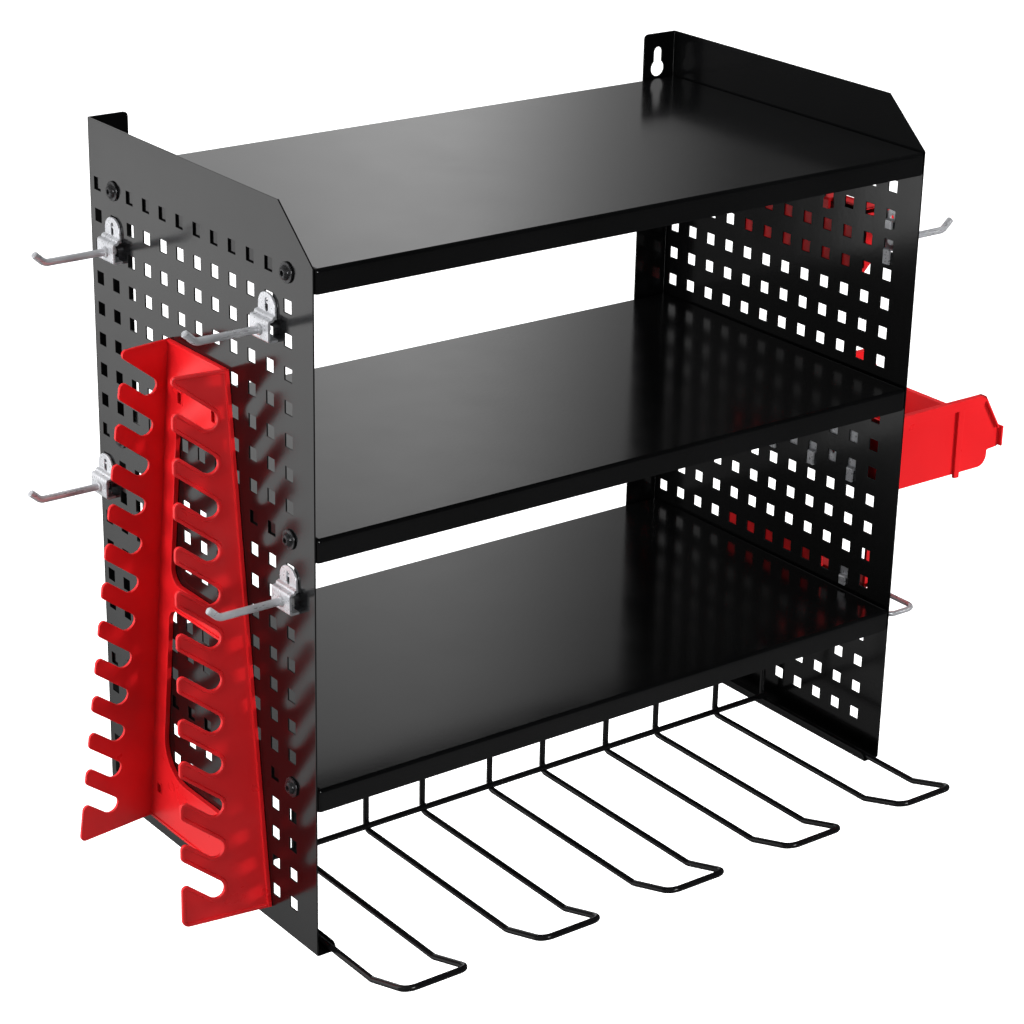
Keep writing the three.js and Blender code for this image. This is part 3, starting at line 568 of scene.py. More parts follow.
def shelf(node):
    """A tray turned upside down: lips folded down on four sides, open seams at the corners."""
    low, high = node_box(node)
    lip = high.z - low.z

    def stations(start, end):
        """Places along one direction as (place, drop), folded down at both ends."""
        first = [(start, lip), (start, BEND + RETURN)]
        first += [(start + BEND - on, inward) for on, inward in FOLD[::-1]]
        last = [(end - BEND + on, inward) for on, inward in FOLD]
        last += [(end, BEND + RETURN), (end, lip)]
        return first + [(start + BEND, 0), (end - BEND, 0)] + last

    depth = stations(low.y, high.y)
    width = stations(low.x, high.x)
    folded = len(FOLD) + 2

    def flat(index, places):
        return folded <= index < len(places) - 1 - folded

    def position(i, j):
        y, drop = depth[i]
        x, side_drop = width[j]
        return metres(x, y, high.z - drop - side_drop)

    def corner_position(i, j):
        y, drop = depth[i]
        x, back = width[j]
        return metres(x, y + back, high.z - drop)

    def corner_wanted(i, j):
        return i < folded and not flat(j, width) and j not in (0, len(width) - 2)

    bm = bmesh.new()
    grid(bm, len(depth), len(width), position, lambda i, j: flat(i, depth) or flat(j, width), flip=True)
    grid(bm, len(depth), len(width), corner_position, corner_wanted, flip=True)
    bmesh.ops.remove_doubles(bm, verts=bm.verts[:], dist=1e-6)
    placed(node + "_tray", sheet_mesh(bm), COAT, "root", node)


for shelf_node in ("shelf_top", "shelf_middle", "shelf_bottom"):
    shelf(shelf_node)

# ---- bolts and nuts ----
BOLT_FLANGE, BOLT_HEAD, BOLT_SHANK = 15.5, 10.6, 5.8
SOCKET = 4.0                  # across the hexagon's flats
DOME_RISE = 2.66 / math.sin(math.radians(72))
NUT_FLATS = 10


def bolt_mesh(side):
    """A flanged button-head bolt along X, its head's seat at 0, with a hexagon socket."""
    flange, head, shank = BOLT_FLANGE / 2, BOLT_HEAD / 2, BOLT_SHANK / 2
    inner = node_box("bolt_top_right_back")[0].x - HALF_WIDTH
    dome = []
    for k in range(7):
        angle = math.radians(10 + 62 * k / 6)
        dome.append((PLAY + 1.6 + DOME_RISE * math.sin(angle), head - 3.0 * (1 - math.cos(angle))))
    socket = hexagon(SOCKET)
    stations = [
        (inner, shank - 0.8), (inner + 0.8, shank), (PLAY, shank), (PLAY, flange - 0.3),
        (PLAY + 0.3, flange), (PLAY + 0.9, flange), (PLAY + 1.25, flange - 0.25),
        (PLAY + 1.35, head + 0.5), (PLAY + 1.6, head), *dome,
        (PLAY + 4.3, SOCKET / 2 + 0.75), (PLAY + 4.25, socket), (PLAY + 2.0, socket),
    ]
    bm = bmesh.new()
    turned(bm, stations, lambda a, b, c: metres(side * c, a, b))
    return mesh_of(bm, "flanged_bolt")


def nut_mesh(side, height):
    """A chamfered hexagon nut along X, from 0 to its height, with a bore."""
    face = hexagon(NUT_FLATS, NUT_FLATS / 2 + 0.1)
    full = hexagon(NUT_FLATS, NUT_FLATS / 2 * 1.13)
    bore = BOLT_SHANK / 2 + 0.25
    stations = [(0, bore + 0.5), (0, face), (0.7, full), (height - 0.7, full), (height, face),
                (height, bore + 0.5), (height - 0.5, bore), (0.5, bore), (0, bore + 0.5)]
    bm = bmesh.new()
    turned(bm, stations, lambda a, b, c: metres(side * c, a, b), capped=False)
    bmesh.ops.remove_doubles(bm, verts=bm.verts[:], dist=1e-7)
    return mesh_of(bm, "hexagon_nut")


def bolt_and_nut(spot, side):
    """A bolt through the panel and the nut on it: spot is the end that both nodes' names share."""
    middle = node_centre("bolt_" + spot)
    placed("button_bolt_" + spot, bolt_mesh(side), OXIDE, "root", "bolt_" + spot,
           metres(side * HALF_WIDTH, middle.y, middle.z))
    low, high = node_box("nut_" + spot)
    start = low.x if side > 0 else high.x
    placed("lock_nut_" + spot, nut_mesh(side, high.x - low.x), OXIDE, "root", "nut_" + spot,
           metres(start, middle.y, middle.z))


for shelf_level in ("top", "middle", "bottom"):
    for side, hand in ((-1, "left"), (1, "right")):
        for end in ("back", "front"):
            bolt_and_nut(f"{shelf_level}_{hand}_{end}", side)

# ---- tool loops ----
LOOP_BENDS = (6, 12, 9)       # bend radii at the riser's foot, at the kink and at the tip's corners
LOOP_KINK = 45                # the tip slopes up over this length
LOOP_RISE = 13.3              # from the wire's level under the rod up to the tip
LOOP_STEPS = 10
STRIP_SHEET = 1.5


def weld(bm, middle, radii, sides=12, rings=7):
    """A small weld bead: an ellipsoid that fills the corner between two wires."""
    rows = []
    for j in range(1, rings):
        across = math.pi * j / rings
        ring = circle(0, 0, math.sin(across), sides)
        reaches = [Vector((radii[0] * spot.x, radii[1] * spot.y, radii[2] * math.cos(across)))
                   for spot in ring]
        rows.append([bm.verts.new((middle + reach) * MM) for reach in reaches])
    tube(bm, rows)


def tool_loops():
    """Five bent wires, the rod welded across them and the angle strip that carries them."""
    rod_low, rod_high = node_box("loop_cross_rod")
    size = rod_high.z - rod_low.z
    rod_middle = (rod_low + rod_high) / 2
    strip_low, strip_high = node_box("loop_hanger_strip")
    rod_mesh = bmesh.new()
    rod_ends = [Vector((x, rod_middle.y, rod_middle.z)) for x in (rod_low.x, rod_high.x)]
    wire(rod_mesh, rod_ends, size / 2)
    strip_mesh = bmesh.new()
    for number in range(1, 6):
        node = f"tool_loop_{number}"
        low, high = node_box(node)
        left, right = low.x + size / 2, high.x - size / 2
        riser, tip = high.y - size / 2, low.y + size / 2
        leg = low.z + size / 2
        tip_height = rod_low.z - size / 2 - PLAY + LOOP_RISE
        foot, kink, corner = LOOP_BENDS
        path = rounded([
            (left, riser, high.z), (left, riser, leg, foot), (left, tip + LOOP_KINK, leg, kink),
            (left, tip, tip_height, corner), (right, tip, tip_height, corner),
            (right, tip + LOOP_KINK, leg, kink), (right, riser, leg, foot), (right, riser, high.z),
        ], LOOP_STEPS, axes=3)
        loop_mesh = bmesh.new()
        wire(loop_mesh, path, size / 2)
        finished(node + "_wire", loop_mesh, WIRE_COAT, "root", node)
        for x in (left, right):
            weld(rod_mesh, Vector((x, rod_middle.y + size / 2, rod_middle.z)), (1.9, 1.5, 2.6))
            weld(strip_mesh, Vector((x, strip_low.y - 0.3, strip_low.z + 9)), (2.4, 1.2, 5.5))
    finished("loop_rod", rod_mesh, WIRE_COAT, "root", "loop_cross_rod")
    corners = [(strip_low.y, strip_low.z), (strip_low.y, strip_high.z, 2.2), (strip_high.y, strip_high.z)]
    slab(strip_mesh, thickened(rounded(corners), STRIP_SHEET), strip_high.x - strip_low.x,
         lambda a, b, c: metres(strip_low.x + c, a, b), edge=0.2)
    finished("loop_strip", strip_mesh, COAT, "root", "loop_hanger_strip")


tool_loops()

# ---- prongs ----
ZINC_SHEET, ZINC_PRONG = 1.8, 7    # thickness of the pressings and width of their prongs
PLASTIC, PLASTIC_PRONG = 3, 6


def prong(bm, side, column, row, width, thickness, drop):
    """A flat prong that goes in through a square hole, its leg hanging behind the panel."""
    back = -SHEET - PLAY - 0.1 - thickness
    bottom = row_z(row) - HOLE / 2
    top = bottom + PLAY + 0.5 + thickness
    path = rounded([(back, bottom - drop), (back, top, thickness * 0.9), (1.2, top)])
    slab(bm, thickened(path, thickness), width, upright(side, column_y(column) - width / 2), edge=0.3)


# ---- hooks ----
HOOK_TAB, HOOK_BLOCK = 21.5, 24.5
HOOK_TAB_TOP = 4.5            # above the middle of the upper hole
HOOK_STAND = 8.5
HOOK_REACH = 69
HOOK_ROD = 5.8
HOOK_BEND = 8                 # bend radius at the rod's tip
HOOK_ROD_HEIGHT = -21.5


def hook(name):
    """A pressed plate with a rounded tab and a folded block, and a round rod riveted through it."""
    low, high = node_box(name + "_plate")
    side = 1 if low.x > 0 else -1
    column = round(1 + (BACK_BOLT.y - (low.y + high.y) / 2) / COLUMN_PITCH)
    row = round((BACK_BOLT.z - (high.z - HOOK_TAB_TOP)) / ROW_PITCH)    # that of the upper prong
    y, z = column_y(column), row_z(row)
    half, crown = HOOK_TAB / 2, HOOK_TAB / 2 - 0.6
    tab = rounded([(-half - 0.6, -13), (half + 0.6, -13), (half, HOOK_TAB_TOP, crown),
                   (-half, HOOK_TAB_TOP, crown)])
    plate_mesh = bmesh.new()
    slab(plate_mesh, tab, ZINC_SHEET, facing(side, PLAY, y, z), [rectangle(-1.9, -9.5, 1.9, 0.5, 1.8)],
         edge=0.45)
    shoulders = rounded([
        (2.1, -9.6), (4.4, -10.6, 0.9), (4.7, -12.4, 0.9), (8.0, -12.7, 1.2), (HOOK_STAND, -15, 1.2),
        (HOOK_STAND, -29.2, 1.8), (PLAY, -29.2),
    ], 5)
    slab(plate_mesh, thickened(shoulders, ZINC_SHEET), HOOK_BLOCK, upright(side, y - HOOK_BLOCK / 2, z),
         edge=0.3)
    for prong_row, drop in ((row, 5.5), (row + 1, 10.5)):
        prong(plate_mesh, side, column, prong_row, ZINC_PRONG, ZINC_SHEET, drop)
    finished(name + "_pressing", plate_mesh, ZINC, name, name + "_plate")

    rod_mesh = bmesh.new()
    height = z + HOOK_ROD_HEIGHT
    path = rounded([
        (outside(side, HOOK_STAND + PLAY), y, height),
        (outside(side, HOOK_REACH - HOOK_BEND - 1), y, height, HOOK_BEND),
        (outside(side, HOOK_REACH), y, height + HOOK_BEND),
    ], 12, axes=3)
    radius = HOOK_ROD / 2
    wire(rod_mesh, path, radius, sides=24, tip=0.8)
    collar = [(0, radius + 1.5), (0.5, radius + 1.3), (1.1, radius + 0.6), (1.6, radius - 0.2)]
    turned(rod_mesh, collar, facing(side, HOOK_STAND + PLAY, y, height), sides=24)
    rivet = [(0.6, 3.4), (HOOK_STAND - ZINC_SHEET - 0.1, 3.4)]
    turned(rod_mesh, rivet, facing(side, 0, y, height), sides=24)
    finished(name + "_bar", rod_mesh, ZINC, name, name + "_rod")


for place_name in ("upper_back", "upper_front", "lower_back", "lower_front", "right"):
    hook(place_name + "_hook")

# ---- wrench rack on the left panel ----
RACK_MIDDLE = column_y(6)
RACK_TOP, RACK_BOTTOM = node_box("wrench_rack")[1].z, node_box("wrench_rack")[0].z
RACK_HALVES = (43, 92)        # half the base plate's width at its top and bottom
COMB_DEPTHS = (44.5, 73)      # how far the combs stand off the panel at top and bottom
COMB_LEAN = math.tan(math.radians(8))
COMB_WALL = 2.8
COMB_SLOTS, SLOT_PITCH, SLOT_RADIUS = 12, 33, 7.15
SLOT_SLANT = math.radians(38)
FIRST_SLOT = Vector((19.2, -162))
SLOT_DEPTH_STEP = 2.27
BEAD = (2.4, 1.5)             # width and height of the raised border of a comb
WINDOW_INSET = 22             # from the base plate's sloping edge to a window
RACK_WINDOWS = (-189, -326, 10, 12), (-349, -500, 12, 30)    # top, bottom and their corners' radii
# Latch holes as (column, height, half width, half height).
RACK_LATCHES = (5, -169, 2.5, 4.5), (7, -169, 2.5, 4.5), (3, -519, 2.75, 4), (9, -519, 2.75, 4)


def between(z, ends):
    """A size that changes evenly from the rack's top to its bottom."""
    return ends[0] + (ends[1] - ends[0]) * (RACK_TOP - z) / (RACK_TOP - RACK_BOTTOM)


def comb_outline():
    """One comb in (distance from the panel, height), its slanted slots open at the outer edge."""
    along = Vector((math.cos(SLOT_SLANT), math.sin(SLOT_SLANT)))
    across = Vector((-along.y, along.x))
    slope = (COMB_DEPTHS[1] - COMB_DEPTHS[0]) / (RACK_TOP - RACK_BOTTOM)

    def mouth(centre, wall):
        start = centre + across * (wall * SLOT_RADIUS)
        run = (between(start.y, COMB_DEPTHS) - start.x) / (along.x + slope * along.y)
        return start + along * run

    corners = [(PLAY + 0.2, RACK_TOP), (COMB_DEPTHS[0], RACK_TOP, 3.4)]
    for index in range(COMB_SLOTS):
        centre = FIRST_SLOT + Vector((SLOT_DEPTH_STEP, -SLOT_PITCH)) * index
        corners.append((*mouth(centre, 1), 4))
        corners += arc(*centre, SLOT_RADIUS, SLOT_SLANT + math.pi / 2, math.pi, 12)
        corners.append((*mouth(centre, -1), 4))
    corners += [(COMB_DEPTHS[1], RACK_BOTTOM, 5), (PLAY + 0.2, RACK_BOTTOM)]
    return rounded(corners, 6)


def comb(bm, end):
    """A comb on the base plate's side: end is -1 for the front one. It leans in as it goes out."""
    spread = (RACK_HALVES[1] - RACK_HALVES[0]) / (RACK_TOP - RACK_BOTTOM)
    foot = RACK_HALVES[0] + spread * RACK_TOP

    def place(a, b, c):
        y = RACK_MIDDLE + end * (foot - COMB_LEAN * a - spread * b - (COMB_WALL - c))
        return metres(outside(-1, a), y, b)

    slab(bm, comb_outline(), COMB_WALL, place, edge=0.55, bead=BEAD)


def window(top, bottom, top_radius, bottom_radius, grow=0.0):
    """A window of the base plate, or the outline of its rim when grown."""
    inset = WINDOW_INSET - grow
    reach_top, reach_bottom = between(top, RACK_HALVES) - inset, between(bottom, RACK_HALVES) - inset
    return rounded([
        (RACK_MIDDLE - reach_top, top + grow, top_radius + grow),
        (RACK_MIDDLE + reach_top, top + grow, top_radius + grow),
        (RACK_MIDDLE + reach_bottom, bottom - grow, bottom_radius + grow),
        (RACK_MIDDLE - reach_bottom, bottom - grow, bottom_radius + grow),
    ], 10)


def centred(a, b, half_width, half_height, radius=0.6):
    return rectangle(a - half_width, b - half_height, a + half_width, b + half_height, radius, 3)


def wrench_rack():
    """The base plate with its windows, latch holes and rims, two combs and four prongs."""
    bm = bmesh.new()
    face = PLAY + PLASTIC
    top_half, bottom_half = RACK_HALVES
    plate = rounded([(RACK_MIDDLE - top_half, RACK_TOP), (RACK_MIDDLE + top_half, RACK_TOP),
                     (RACK_MIDDLE + bottom_half, RACK_BOTTOM), (RACK_MIDDLE - bottom_half, RACK_BOTTOM)])
    latches = [centred(column_y(column), z, *halves) for column, z, *halves in RACK_LATCHES]
    slab(bm, plate, PLASTIC, facing(-1, PLAY), [window(*size) for size in RACK_WINDOWS] + latches, edge=0.4)
    for size in RACK_WINDOWS:
        slab(bm, window(*size, grow=2.2), 1.5, facing(-1, face - 0.4), [window(*size, grow=0.01)], edge=0.4)
    for column, z, half_width, half_height in RACK_LATCHES:
        rim = centred(column_y(column), z, half_width + 1.3, half_height + 1.3, 1)
        hole = centred(column_y(column), z, half_width + 0.02, half_height + 0.02)
        slab(bm, rim, 0.8, facing(-1, face - 0.3), [hole], edge=0.2)
    for z in (RACK_TOP - 1.3, RACK_BOTTOM + 1.3):
        reach = between(z, RACK_HALVES) - 1.5
        bar = rectangle(RACK_MIDDLE - reach, z - 1.1, RACK_MIDDLE + reach, z + 1.1)
        slab(bm, bar, 1.3, facing(-1, face - 0.3), edge=0.45)
    for hand in (-1, 1):
        for across, z in ((30, -163), (62, -486), (54, -509)):
            y = RACK_MIDDLE + hand * across
            slab(bm, circle(y, z, 4.6), 0.35, facing(-1, face - 0.1), [circle(y, z, 3.9)], edge=0)
    comb(bm, -1)
    comb(bm, 1)
    for column, row in ((5, 5), (7, 5), (3, 19), (9, 19)):
        prong(bm, -1, column, row, PLASTIC_PRONG, PLASTIC, 5.5)
    finished("wrench_rack_moulding", bm, RED, "wrench_rack", "wrench_rack", recalc=False)


wrench_rack()

# ---- parts bin and its bracket ----
BIN_LOW, BIN_HIGH = node_box("parts_bin")
BIN_Y = (BIN_LOW.y + BIN_HIGH.y) / 2
BIN_HALF = (BIN_HIGH.y - BIN_LOW.y) / 2
BIN_TOP = BIN_HIGH.z
BIN_WALL = 2.2
BIN_BACK = 7.5
BIN_RECESS = 3.5              # the side walls stand in from the rim by this much
BIN_RIM = BIN_RECESS + BIN_WALL - 0.05
BIN_FACE = BIN_HIGH.x - HALF_WIDTH
BRACKET_LOW, BRACKET_HIGH = node_box("bin_bracket")
BRACKET_HALF = (BRACKET_HIGH.y - BRACKET_LOW.y) / 2


def across_bin(bm, outline, width, edge):
    """A slab across the middle of the bin, its outline as (distance from the panel, height)."""
    slab(bm, outline, width, upright(1, BIN_Y - width / 2, BIN_TOP), edge=edge)


def beside_bin(bm, outline, thickness, hand, reach, edge):
    """The same on one side: hand is -1 for the front one, and reach places the slab's outer face."""
    start = BIN_Y - reach if hand < 0 else BIN_Y + reach - thickness
    slab(bm, outline, thickness, upright(1, start, BIN_TOP), edge=edge)


def parts_bin():
    """Side walls with a thick rim and a rib, one bent sheet as floor and ends, a label lip and feet."""
    bm = bmesh.new()
    wall = BIN_HALF - BIN_RECESS
    side = rounded([(BIN_BACK, -0.5), (129.3, -0.5, 3), (149.2, -33.5), (153, -34.5), (153, -52.5, 2.5),
                    (139.5, -53.5, 1.5), (139.5, -68, 10), (BIN_BACK, -68, 3)])
    rim = rounded([(BIN_BACK, 0), (129.3, 0, 3.5), (131.5, -3.6, 1), (127.6, -9, 1), (BIN_BACK, -9)])
    slope = thickened(rounded([(125, 0), (129.3, 0, 3.5), (149.8, -33.5)]), 1.7)
    rib = rounded([(98, -8), (105.5, -8), (104.5, -71.3, 1), (98.5, -71.3, 1)])
    for hand in (-1, 1):
        beside_bin(bm, side, BIN_WALL, hand, wall, 0.3)
        beside_bin(bm, rim, BIN_RIM, hand, BIN_HALF, 0.5)
        beside_bin(bm, slope, BIN_RIM, hand, BIN_HALF, 0.35)
        beside_bin(bm, rib, BIN_RECESS - 0.3, hand, BIN_HALF - 0.7, 0.7)
    sheet = rounded([(9.7, -0.3), (9.7, -65.8, 2), (137.3, -65.8, 8), (137.3, -50, 3), (149.8, -33.6, 0.6),
                     (BIN_FACE, -33.2, 0.9), (BIN_FACE, -52)])
    across_bin(bm, thickened(sheet, BIN_WALL), 2 * (wall - 0.5), 0.25)
    label = rounded([(152.2, -33.4), (BIN_FACE, -33.4, 0.5), (BIN_FACE, -52, 1), (152.6, -52, 1)])
    across_bin(bm, label, 2 * BIN_HALF, 0.3)
    foot = rectangle(BIN_BACK + 2, -67, 99, -69)
    for y in (-50, 50):
        slab(bm, foot, 2, upright(1, BIN_Y + y - 1, BIN_TOP), edge=0.3)
    hanging = rounded([(2.7, -16.5), (2.7, -3.5, 1.4), (BIN_BACK + 1, -3.5)])
    across_bin(bm, thickened(hanging, ZINC_SHEET), 2 * BRACKET_HALF, 0.35)
    finished("parts_bin_moulding", bm, RED, "parts_bin", "parts_bin", recalc=False)


def bin_bracket():
    """The pressed strip that the bin's lip drops into."""
    bm = bmesh.new()
    top, bottom = -7.5, row_z(11) - 8 - BIN_TOP
    plate = rectangle(-BRACKET_HALF, bottom, BRACKET_HALF, top, (3, 3, 2, 2))
    screw_holes = [circle(y, bottom + 12, 2.2, 20) for y in (-24, 24)]
    slab(bm, plate, ZINC_SHEET, facing(1, PLAY, BIN_Y, BIN_TOP), screw_holes, edge=0.4)
    seat = rounded([(6.9, -7.0), (6.9, -19.5, 1.6), (1.2, -19.5)])
    across_bin(bm, thickened(seat, ZINC_SHEET), 2 * BRACKET_HALF, 0.3)
    for column in (6, 8, 10):
        prong(bm, 1, column, 11, ZINC_PRONG, ZINC_SHEET, 10)
    finished("bin_bracket_pressing", bm, ZINC, "bin_bracket", "bin_bracket", recalc=False)


parts_bin()
bin_bracket()

# ---- tool holder and driver rack ----
LEDGE, LEDGE_LIP = 4, 3


def opening(y, out, width, length, grow=0.0):
    """A hole's outline (distance out, y): round, or oblong along Y."""
    half_width, half_length = width / 2 + grow, length / 2 + grow
    return rectangle(out - half_width, y - half_length, out + half_width, y + half_length,
                     half_width - 0.05)


def ledge(bm, y_from, y_to, top, back, front, holes):
    """A shelf of plastic with collared holes (y, distance out, width, length) and a downturned lip."""
    outline = rectangle(back, y_from, front, y_to, (0, 2.5, 2.5, 0))
    slab(bm, outline, LEDGE, level(top - LEDGE), [opening(*hole) for hole in holes], edge=0.6)
    for hole in holes:
        slab(bm, opening(*hole, grow=1.8), LEDGE + 2.4, level(top - LEDGE - 1.6),
             [opening(*hole, grow=-0.02)], edge=0.5)
    lip = rectangle(front - PLASTIC, y_from + 0.3, front, y_to - 0.3, (0, 2, 2, 0))
    slab(bm, lip, LEDGE + LEDGE_LIP - 0.2, level(top - LEDGE - LEDGE_LIP), edge=0.6)


def gusset(bm, y, top, bottom, front):
    """A brace square to the panel, narrowing downward."""
    outline = rounded([(PLAY, top), (PLAY, bottom), (PLAY + PLASTIC, bottom), (front, top - 7, 3),
                       (front, top, 1.5)])
    slab(bm, outline, PLASTIC, upright(1, y), edge=0.5)


def back_plate(bm, y_from, y_to, top, bottom):
    slab(bm, rectangle(y_from, bottom, y_to, top, (4, 4, 0, 0)), PLASTIC, facing(1, PLAY), edge=0.5)


def tool_holder():
    bm = bmesh.new()
    low, high = node_box("tool_holder")
    front = high.x - HALF_WIDTH
    middle = (low.y + high.y) / 2
    shelf_top = row_z(2) - 2
    bottom = shelf_top - 55
    holes = [(middle + away, 27, 26, 54) for away in (-38, 38)]
    ledge(bm, low.y, high.y, shelf_top, PLAY, front, holes)
    back_plate(bm, low.y, high.y, shelf_top, bottom)
    gusset(bm, low.y, shelf_top, bottom, front)
    gusset(bm, high.y - PLASTIC, shelf_top, bottom, front)
    gusset(bm, middle - PLASTIC / 2, shelf_top, bottom + 15, front - 2)
    for column in (5, 8):
        prong(bm, 1, column, 2, PLASTIC_PRONG, PLASTIC, 5.5)
    finished("tool_holder_moulding", bm, RED, "tool_holder", "tool_holder", recalc=False)


def driver_rack():
    """A narrow rack: its back plate covers the back half, and the ledge stands clear of the panel."""
    bm = bmesh.new()
    low, high = node_box("driver_rack")
    front = high.x - HALF_WIDTH
    shelf_top = row_z(15) - 6
    middle, clear, plate_rise = -226, 6, 18
    ledge(bm, low.y, high.y, shelf_top, clear, front, [(column_y(at), 20, 14, 14) for at in (4.5, 6, 7.5)])
    bridge = rectangle(PLAY, middle, clear + 1, high.y)
    slab(bm, bridge, LEDGE, level(shelf_top - LEDGE), edge=0.4)
    back_plate(bm, middle, high.y, shelf_top + plate_rise, low.z)
    gusset(bm, high.y - PLASTIC, shelf_top, low.z, front)
    stop = rounded([(clear, -LEDGE), (front, -LEDGE), (front, 8, 2), (clear + 12, 36, 6), (clear, 36, 1.5)])
    slab(bm, stop, PLASTIC, upright(1, low.y, shelf_top), edge=0.5)
    for column in (5, 8):
        prong(bm, 1, column, 17, PLASTIC_PRONG, PLASTIC, 5.5)
    finished("driver_rack_moulding", bm, RED, "driver_rack", "driver_rack", recalc=False)


tool_holder()
driver_rack()

# ---- ring holder ----


def ring_holder():
    """A zinc plate with a pad, and a rectangular wire ring whose two ends are welded to the pad."""
    bm = bmesh.new()
    low, high = node_box("ring_plate")
    y = (low.y + high.y) / 2
    wire_low, wire_high = node_box("ring_wire")
    size = wire_high.z - wire_low.z
    z = (wire_low.z + wire_high.z) / 2
    inner, outer = wire_low.x + size / 2, wire_high.x - size / 2
    plate = rectangle(-12, low.z, 12, row_z(15) + 5, (1.5, 1.5, 9, 9))
    slab(bm, plate, ZINC_SHEET, facing(1, PLAY, y), edge=0.4)
    pad = centred(0, z, 12, 7, 2)
    slab(bm, pad, high.x - HALF_WIDTH - PLAY, facing(1, PLAY, y), edge=0.9, segments=3)
    prong(bm, 1, 10, 15, ZINC_PRONG, ZINC_SHEET, 6)
    finished("ring_plate_pressing", bm, ZINC, "ring_holder", "ring_plate", recalc=False)

    ring_mesh = bmesh.new()
    half = (wire_high.y - wire_low.y - size) / 2
    bend, join = 8, 3
    path = rounded([
        (inner, y - join, z), (inner, y - half, z, bend), (outer, y - half, z, bend),
        (outer, y + half, z, bend), (inner, y + half, z, bend), (inner, y + join, z),
    ], 10, axes=3)
    wire(ring_mesh, path, size / 2)
    for hand in (-1, 1):
        weld(ring_mesh, Vector((inner - 1.6, y + hand * 7.5, z)), (1.2, 3.2, 2.6))
    finished("ring_bow", ring_mesh, ZINC, "ring_holder", "ring_wire")


ring_holder()

# ---- studio ----
GLOW = 1.22                   # strength of the card that the left panel mirrors
FLOOR_GLOW = 0.85             # keeps the far floor as white as the near one
FLOOR_DROP = 0.6              # metres from the lowest point of the rack down to the floor


def soft_light(name, place, aim, size, power, mirrored=True):
    """An area lamp. Lamps that aren't mirrored stay off the shelves and their folds."""
    light = bpy.data.lights.new(name, "AREA")
    light.shape = "RECTANGLE"
    light.size, light.size_y = size
    light.energy = power
    lamp = linked(name, light, place)
    lamp.rotation_euler = (Vector(aim) - Vector(place)).to_track_quat("-Z", "Y").to_euler()
    lamp.visible_camera = False
    lamp.visible_glossy = mirrored


def card(name, corners, place, material, seen_by):
    """A flat card that only one kind of ray sees: "camera", "diffuse" light or "glossy" mirror images."""
    mesh = bpy.data.meshes.new(name)
    mesh.from_pydata(corners, [], [(0, 1, 2, 3)])
    mesh.materials.append(material)
    piece = linked(name, mesh, place)
    piece.visible_camera = seen_by == "camera"
    piece.visible_diffuse = seen_by == "diffuse"
    piece.visible_glossy = seen_by == "glossy"
    piece.visible_shadow = False


def floor_card(name, height, size, grey, seen_by):
    """A level card of one grey. Only the one that the camera sees glows."""
    material, _, _ = new_material(name, {
        "Base Color": (grey, grey, grey, 1), "Roughness": 1.0, "Specular IOR Level": 0.0,
        "Emission Color": (1, 1, 1, 1), "Emission Strength": FLOOR_GLOW if seen_by == "camera" else 0.0,
    })
    half = size / 2
    corners = [(-half, -half, 0), (half, -half, 0), (half, half, 0), (-half, half, 0)]
    card(name, corners, (0, 0, height), material, seen_by)


def glow_card(name, place, wide, high, glows):
    """An upright card beside the left panel, facing it, that only shows in mirror images. Glows are
    (share of the height, brightness)."""
    material, tree, shader = new_material(name, {"Base Color": (0, 0, 0, 1), "Emission Strength": GLOW})
    place_in_card = tree.nodes.new("ShaderNodeTexCoord").outputs["Object"]
    share = ranged(tree, coordinate(tree, place_in_card, "Z"), 0, 1, -high / 2, high / 2)
    tree.links.new(ramp(tree, share, glows), shader.inputs["Emission Color"])
    corners = [(0, y * wide, z * high) for y, z in ((-0.5, -0.5), (0.5, -0.5), (0.5, 0.5), (-0.5, 0.5))]
    card(name, corners, place, material, "glossy")


def coordinate(tree, vector, axis):
    split = tree.nodes.new("ShaderNodeSeparateXYZ")
    tree.links.new(vector, split.inputs["Vector"])
    return split.outputs[axis]


def ramp(tree, value, steps):
    """Greys at given values, blended in between."""
    node = tree.nodes.new("ShaderNodeValToRGB")
    tree.links.new(value, node.inputs["Fac"])
    elements = node.color_ramp.elements
    while len(elements) < len(steps):
        elements.new(1.0)
    for element, (position, grey) in zip(elements, steps):
        element.position = position
        element.color = (grey, grey, grey, 1)
    return node.outputs["Color"]


WALL_EDGE = math.radians(217)    # the bright back wall ends 37 degrees to the right of +Y


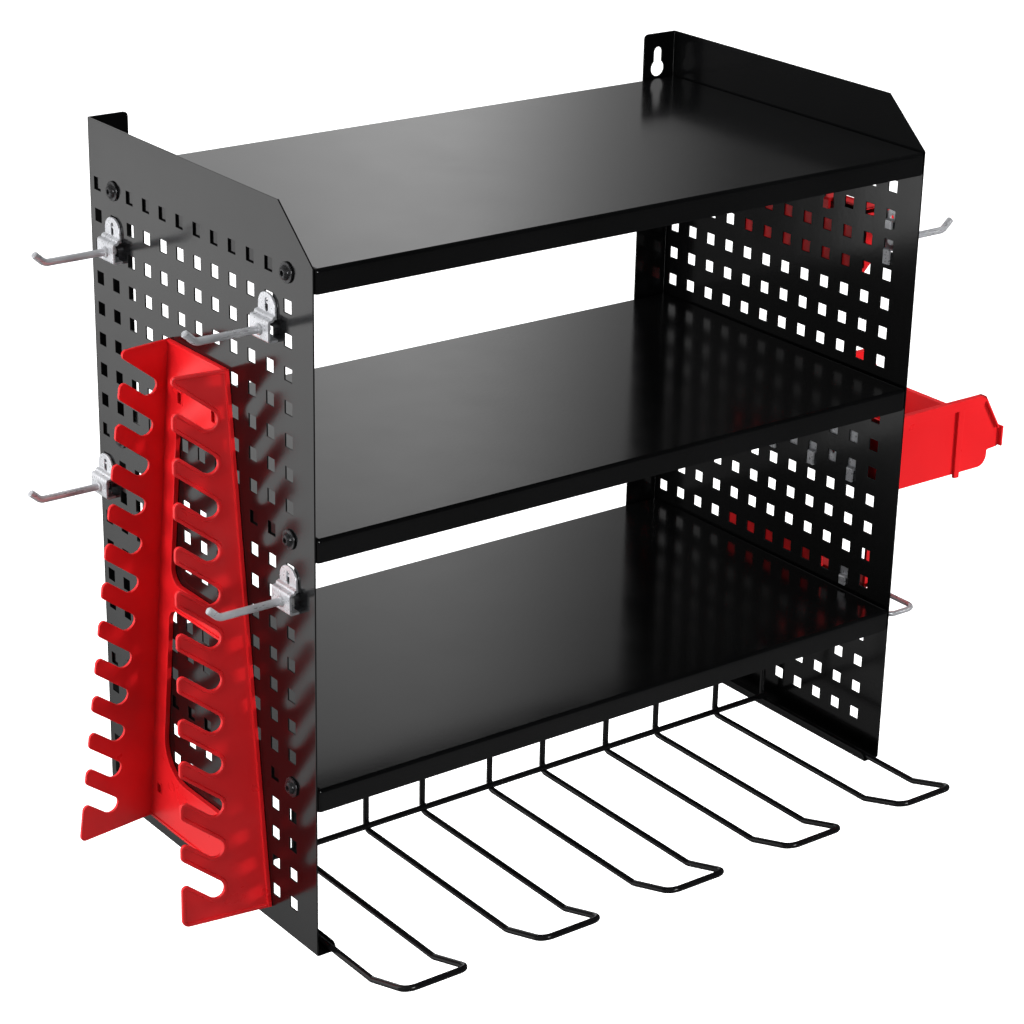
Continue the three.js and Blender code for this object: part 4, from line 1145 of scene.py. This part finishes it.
def studio_world():
    """A white back wall, with the surround darker overhead, at the right and at the front."""
    world = bpy.data.worlds.new("studio")
    world.use_nodes = True
    tree = world.node_tree
    background = tree.nodes["Background"]
    direction = tree.nodes.new("ShaderNodeTexCoord").outputs["Generated"]
    upward = ramp(tree, coordinate(tree, direction, "Z"), [
        (0.0, 1.0), (0.3, 1.0), (0.34, 0.92), (0.39, 0.75), (0.44, 0.55), (0.48, 0.4), (0.7, 0.22)])
    behind = ranged(tree, coordinate(tree, direction, "Y"), 0, 1, -0.4, 0.4)
    backward = ramp(tree, behind, [(0.0, 0.16), (1.0, 1.0)])
    turn = tree.nodes.new("ShaderNodeMapping")
    turn.inputs["Rotation"].default_value = (0, 0, WALL_EDGE)
    tree.links.new(direction, turn.inputs["Vector"])
    across = ranged(tree, coordinate(tree, turn.outputs["Vector"], "X"), 0, 1, -0.12, 1.0)
    leftward = ramp(tree, across, [(0.036, 0.06), (0.08, 0.35), (0.125, 1.0), (0.15, 1.0), (0.2, 0.72),
                                   (0.5, 0.7), (0.85, 0.2)])
    product = mixed(tree, 1.0, upward, backward, "MULTIPLY")
    product = mixed(tree, 1.0, product, leftward, "MULTIPLY")
    tree.links.new(product, background.inputs["Color"])
    background.inputs["Strength"].default_value = 1.15
    bpy.context.scene.world = world


EYE = (-1.2668, -1.8337, 0.5379)
LOOK = (0.55922, 0.73776, -0.37813)
LENS = 97.06
ROLL = 1.285                  # degrees anticlockwise


def camera():
    lens = bpy.data.cameras.new("camera")
    lens.lens = LENS
    viewer = linked("camera", lens, EYE)
    untilted = Vector(LOOK).to_track_quat("-Z", "Y")
    viewer.rotation_euler = (untilted @ Quaternion((0, 0, 1), math.radians(ROLL))).to_euler()
    bpy.context.scene.camera = viewer


studio_world()
camera()
FLOOR = BOTTOM * MM - FLOOR_DROP
floor_card("floor", FLOOR, 300, 0.93, "camera")
floor_card("bounce_floor", FLOOR + 0.01, 40, 0.3, "diffuse")
floor_card("mirrored_floor", FLOOR + 0.02, 40, 0.07, "glossy")
glow_card("left_glow", (-0.6, 0.3, -0.6), 0.75, 1.0, [(0.0, 0.16), (0.2, 0.3), (0.85, 0.96), (1.0, 1.0)])
MIDDLE = (0, -0.15, -0.27)
soft_light("overhead", (0, 2.5, 5.5), (0, 2.5, 0), (11, 9), 800, mirrored=False)
soft_light("key", (-0.7, -3.1, 0.6), MIDDLE, (0.9, 0.9), 27)
soft_light("right_kicker", (1.3, -1.5, -0.05), (0.4, -0.28, -0.3), (0.4, 0.4), 27, mirrored=False)
soft_light("left_fill", (-2.8, 0.25, 0.3), MIDDLE, (1.4, 1.4), 72, mirrored=False)
bpy.context.scene.view_settings.view_transform = "Standard"
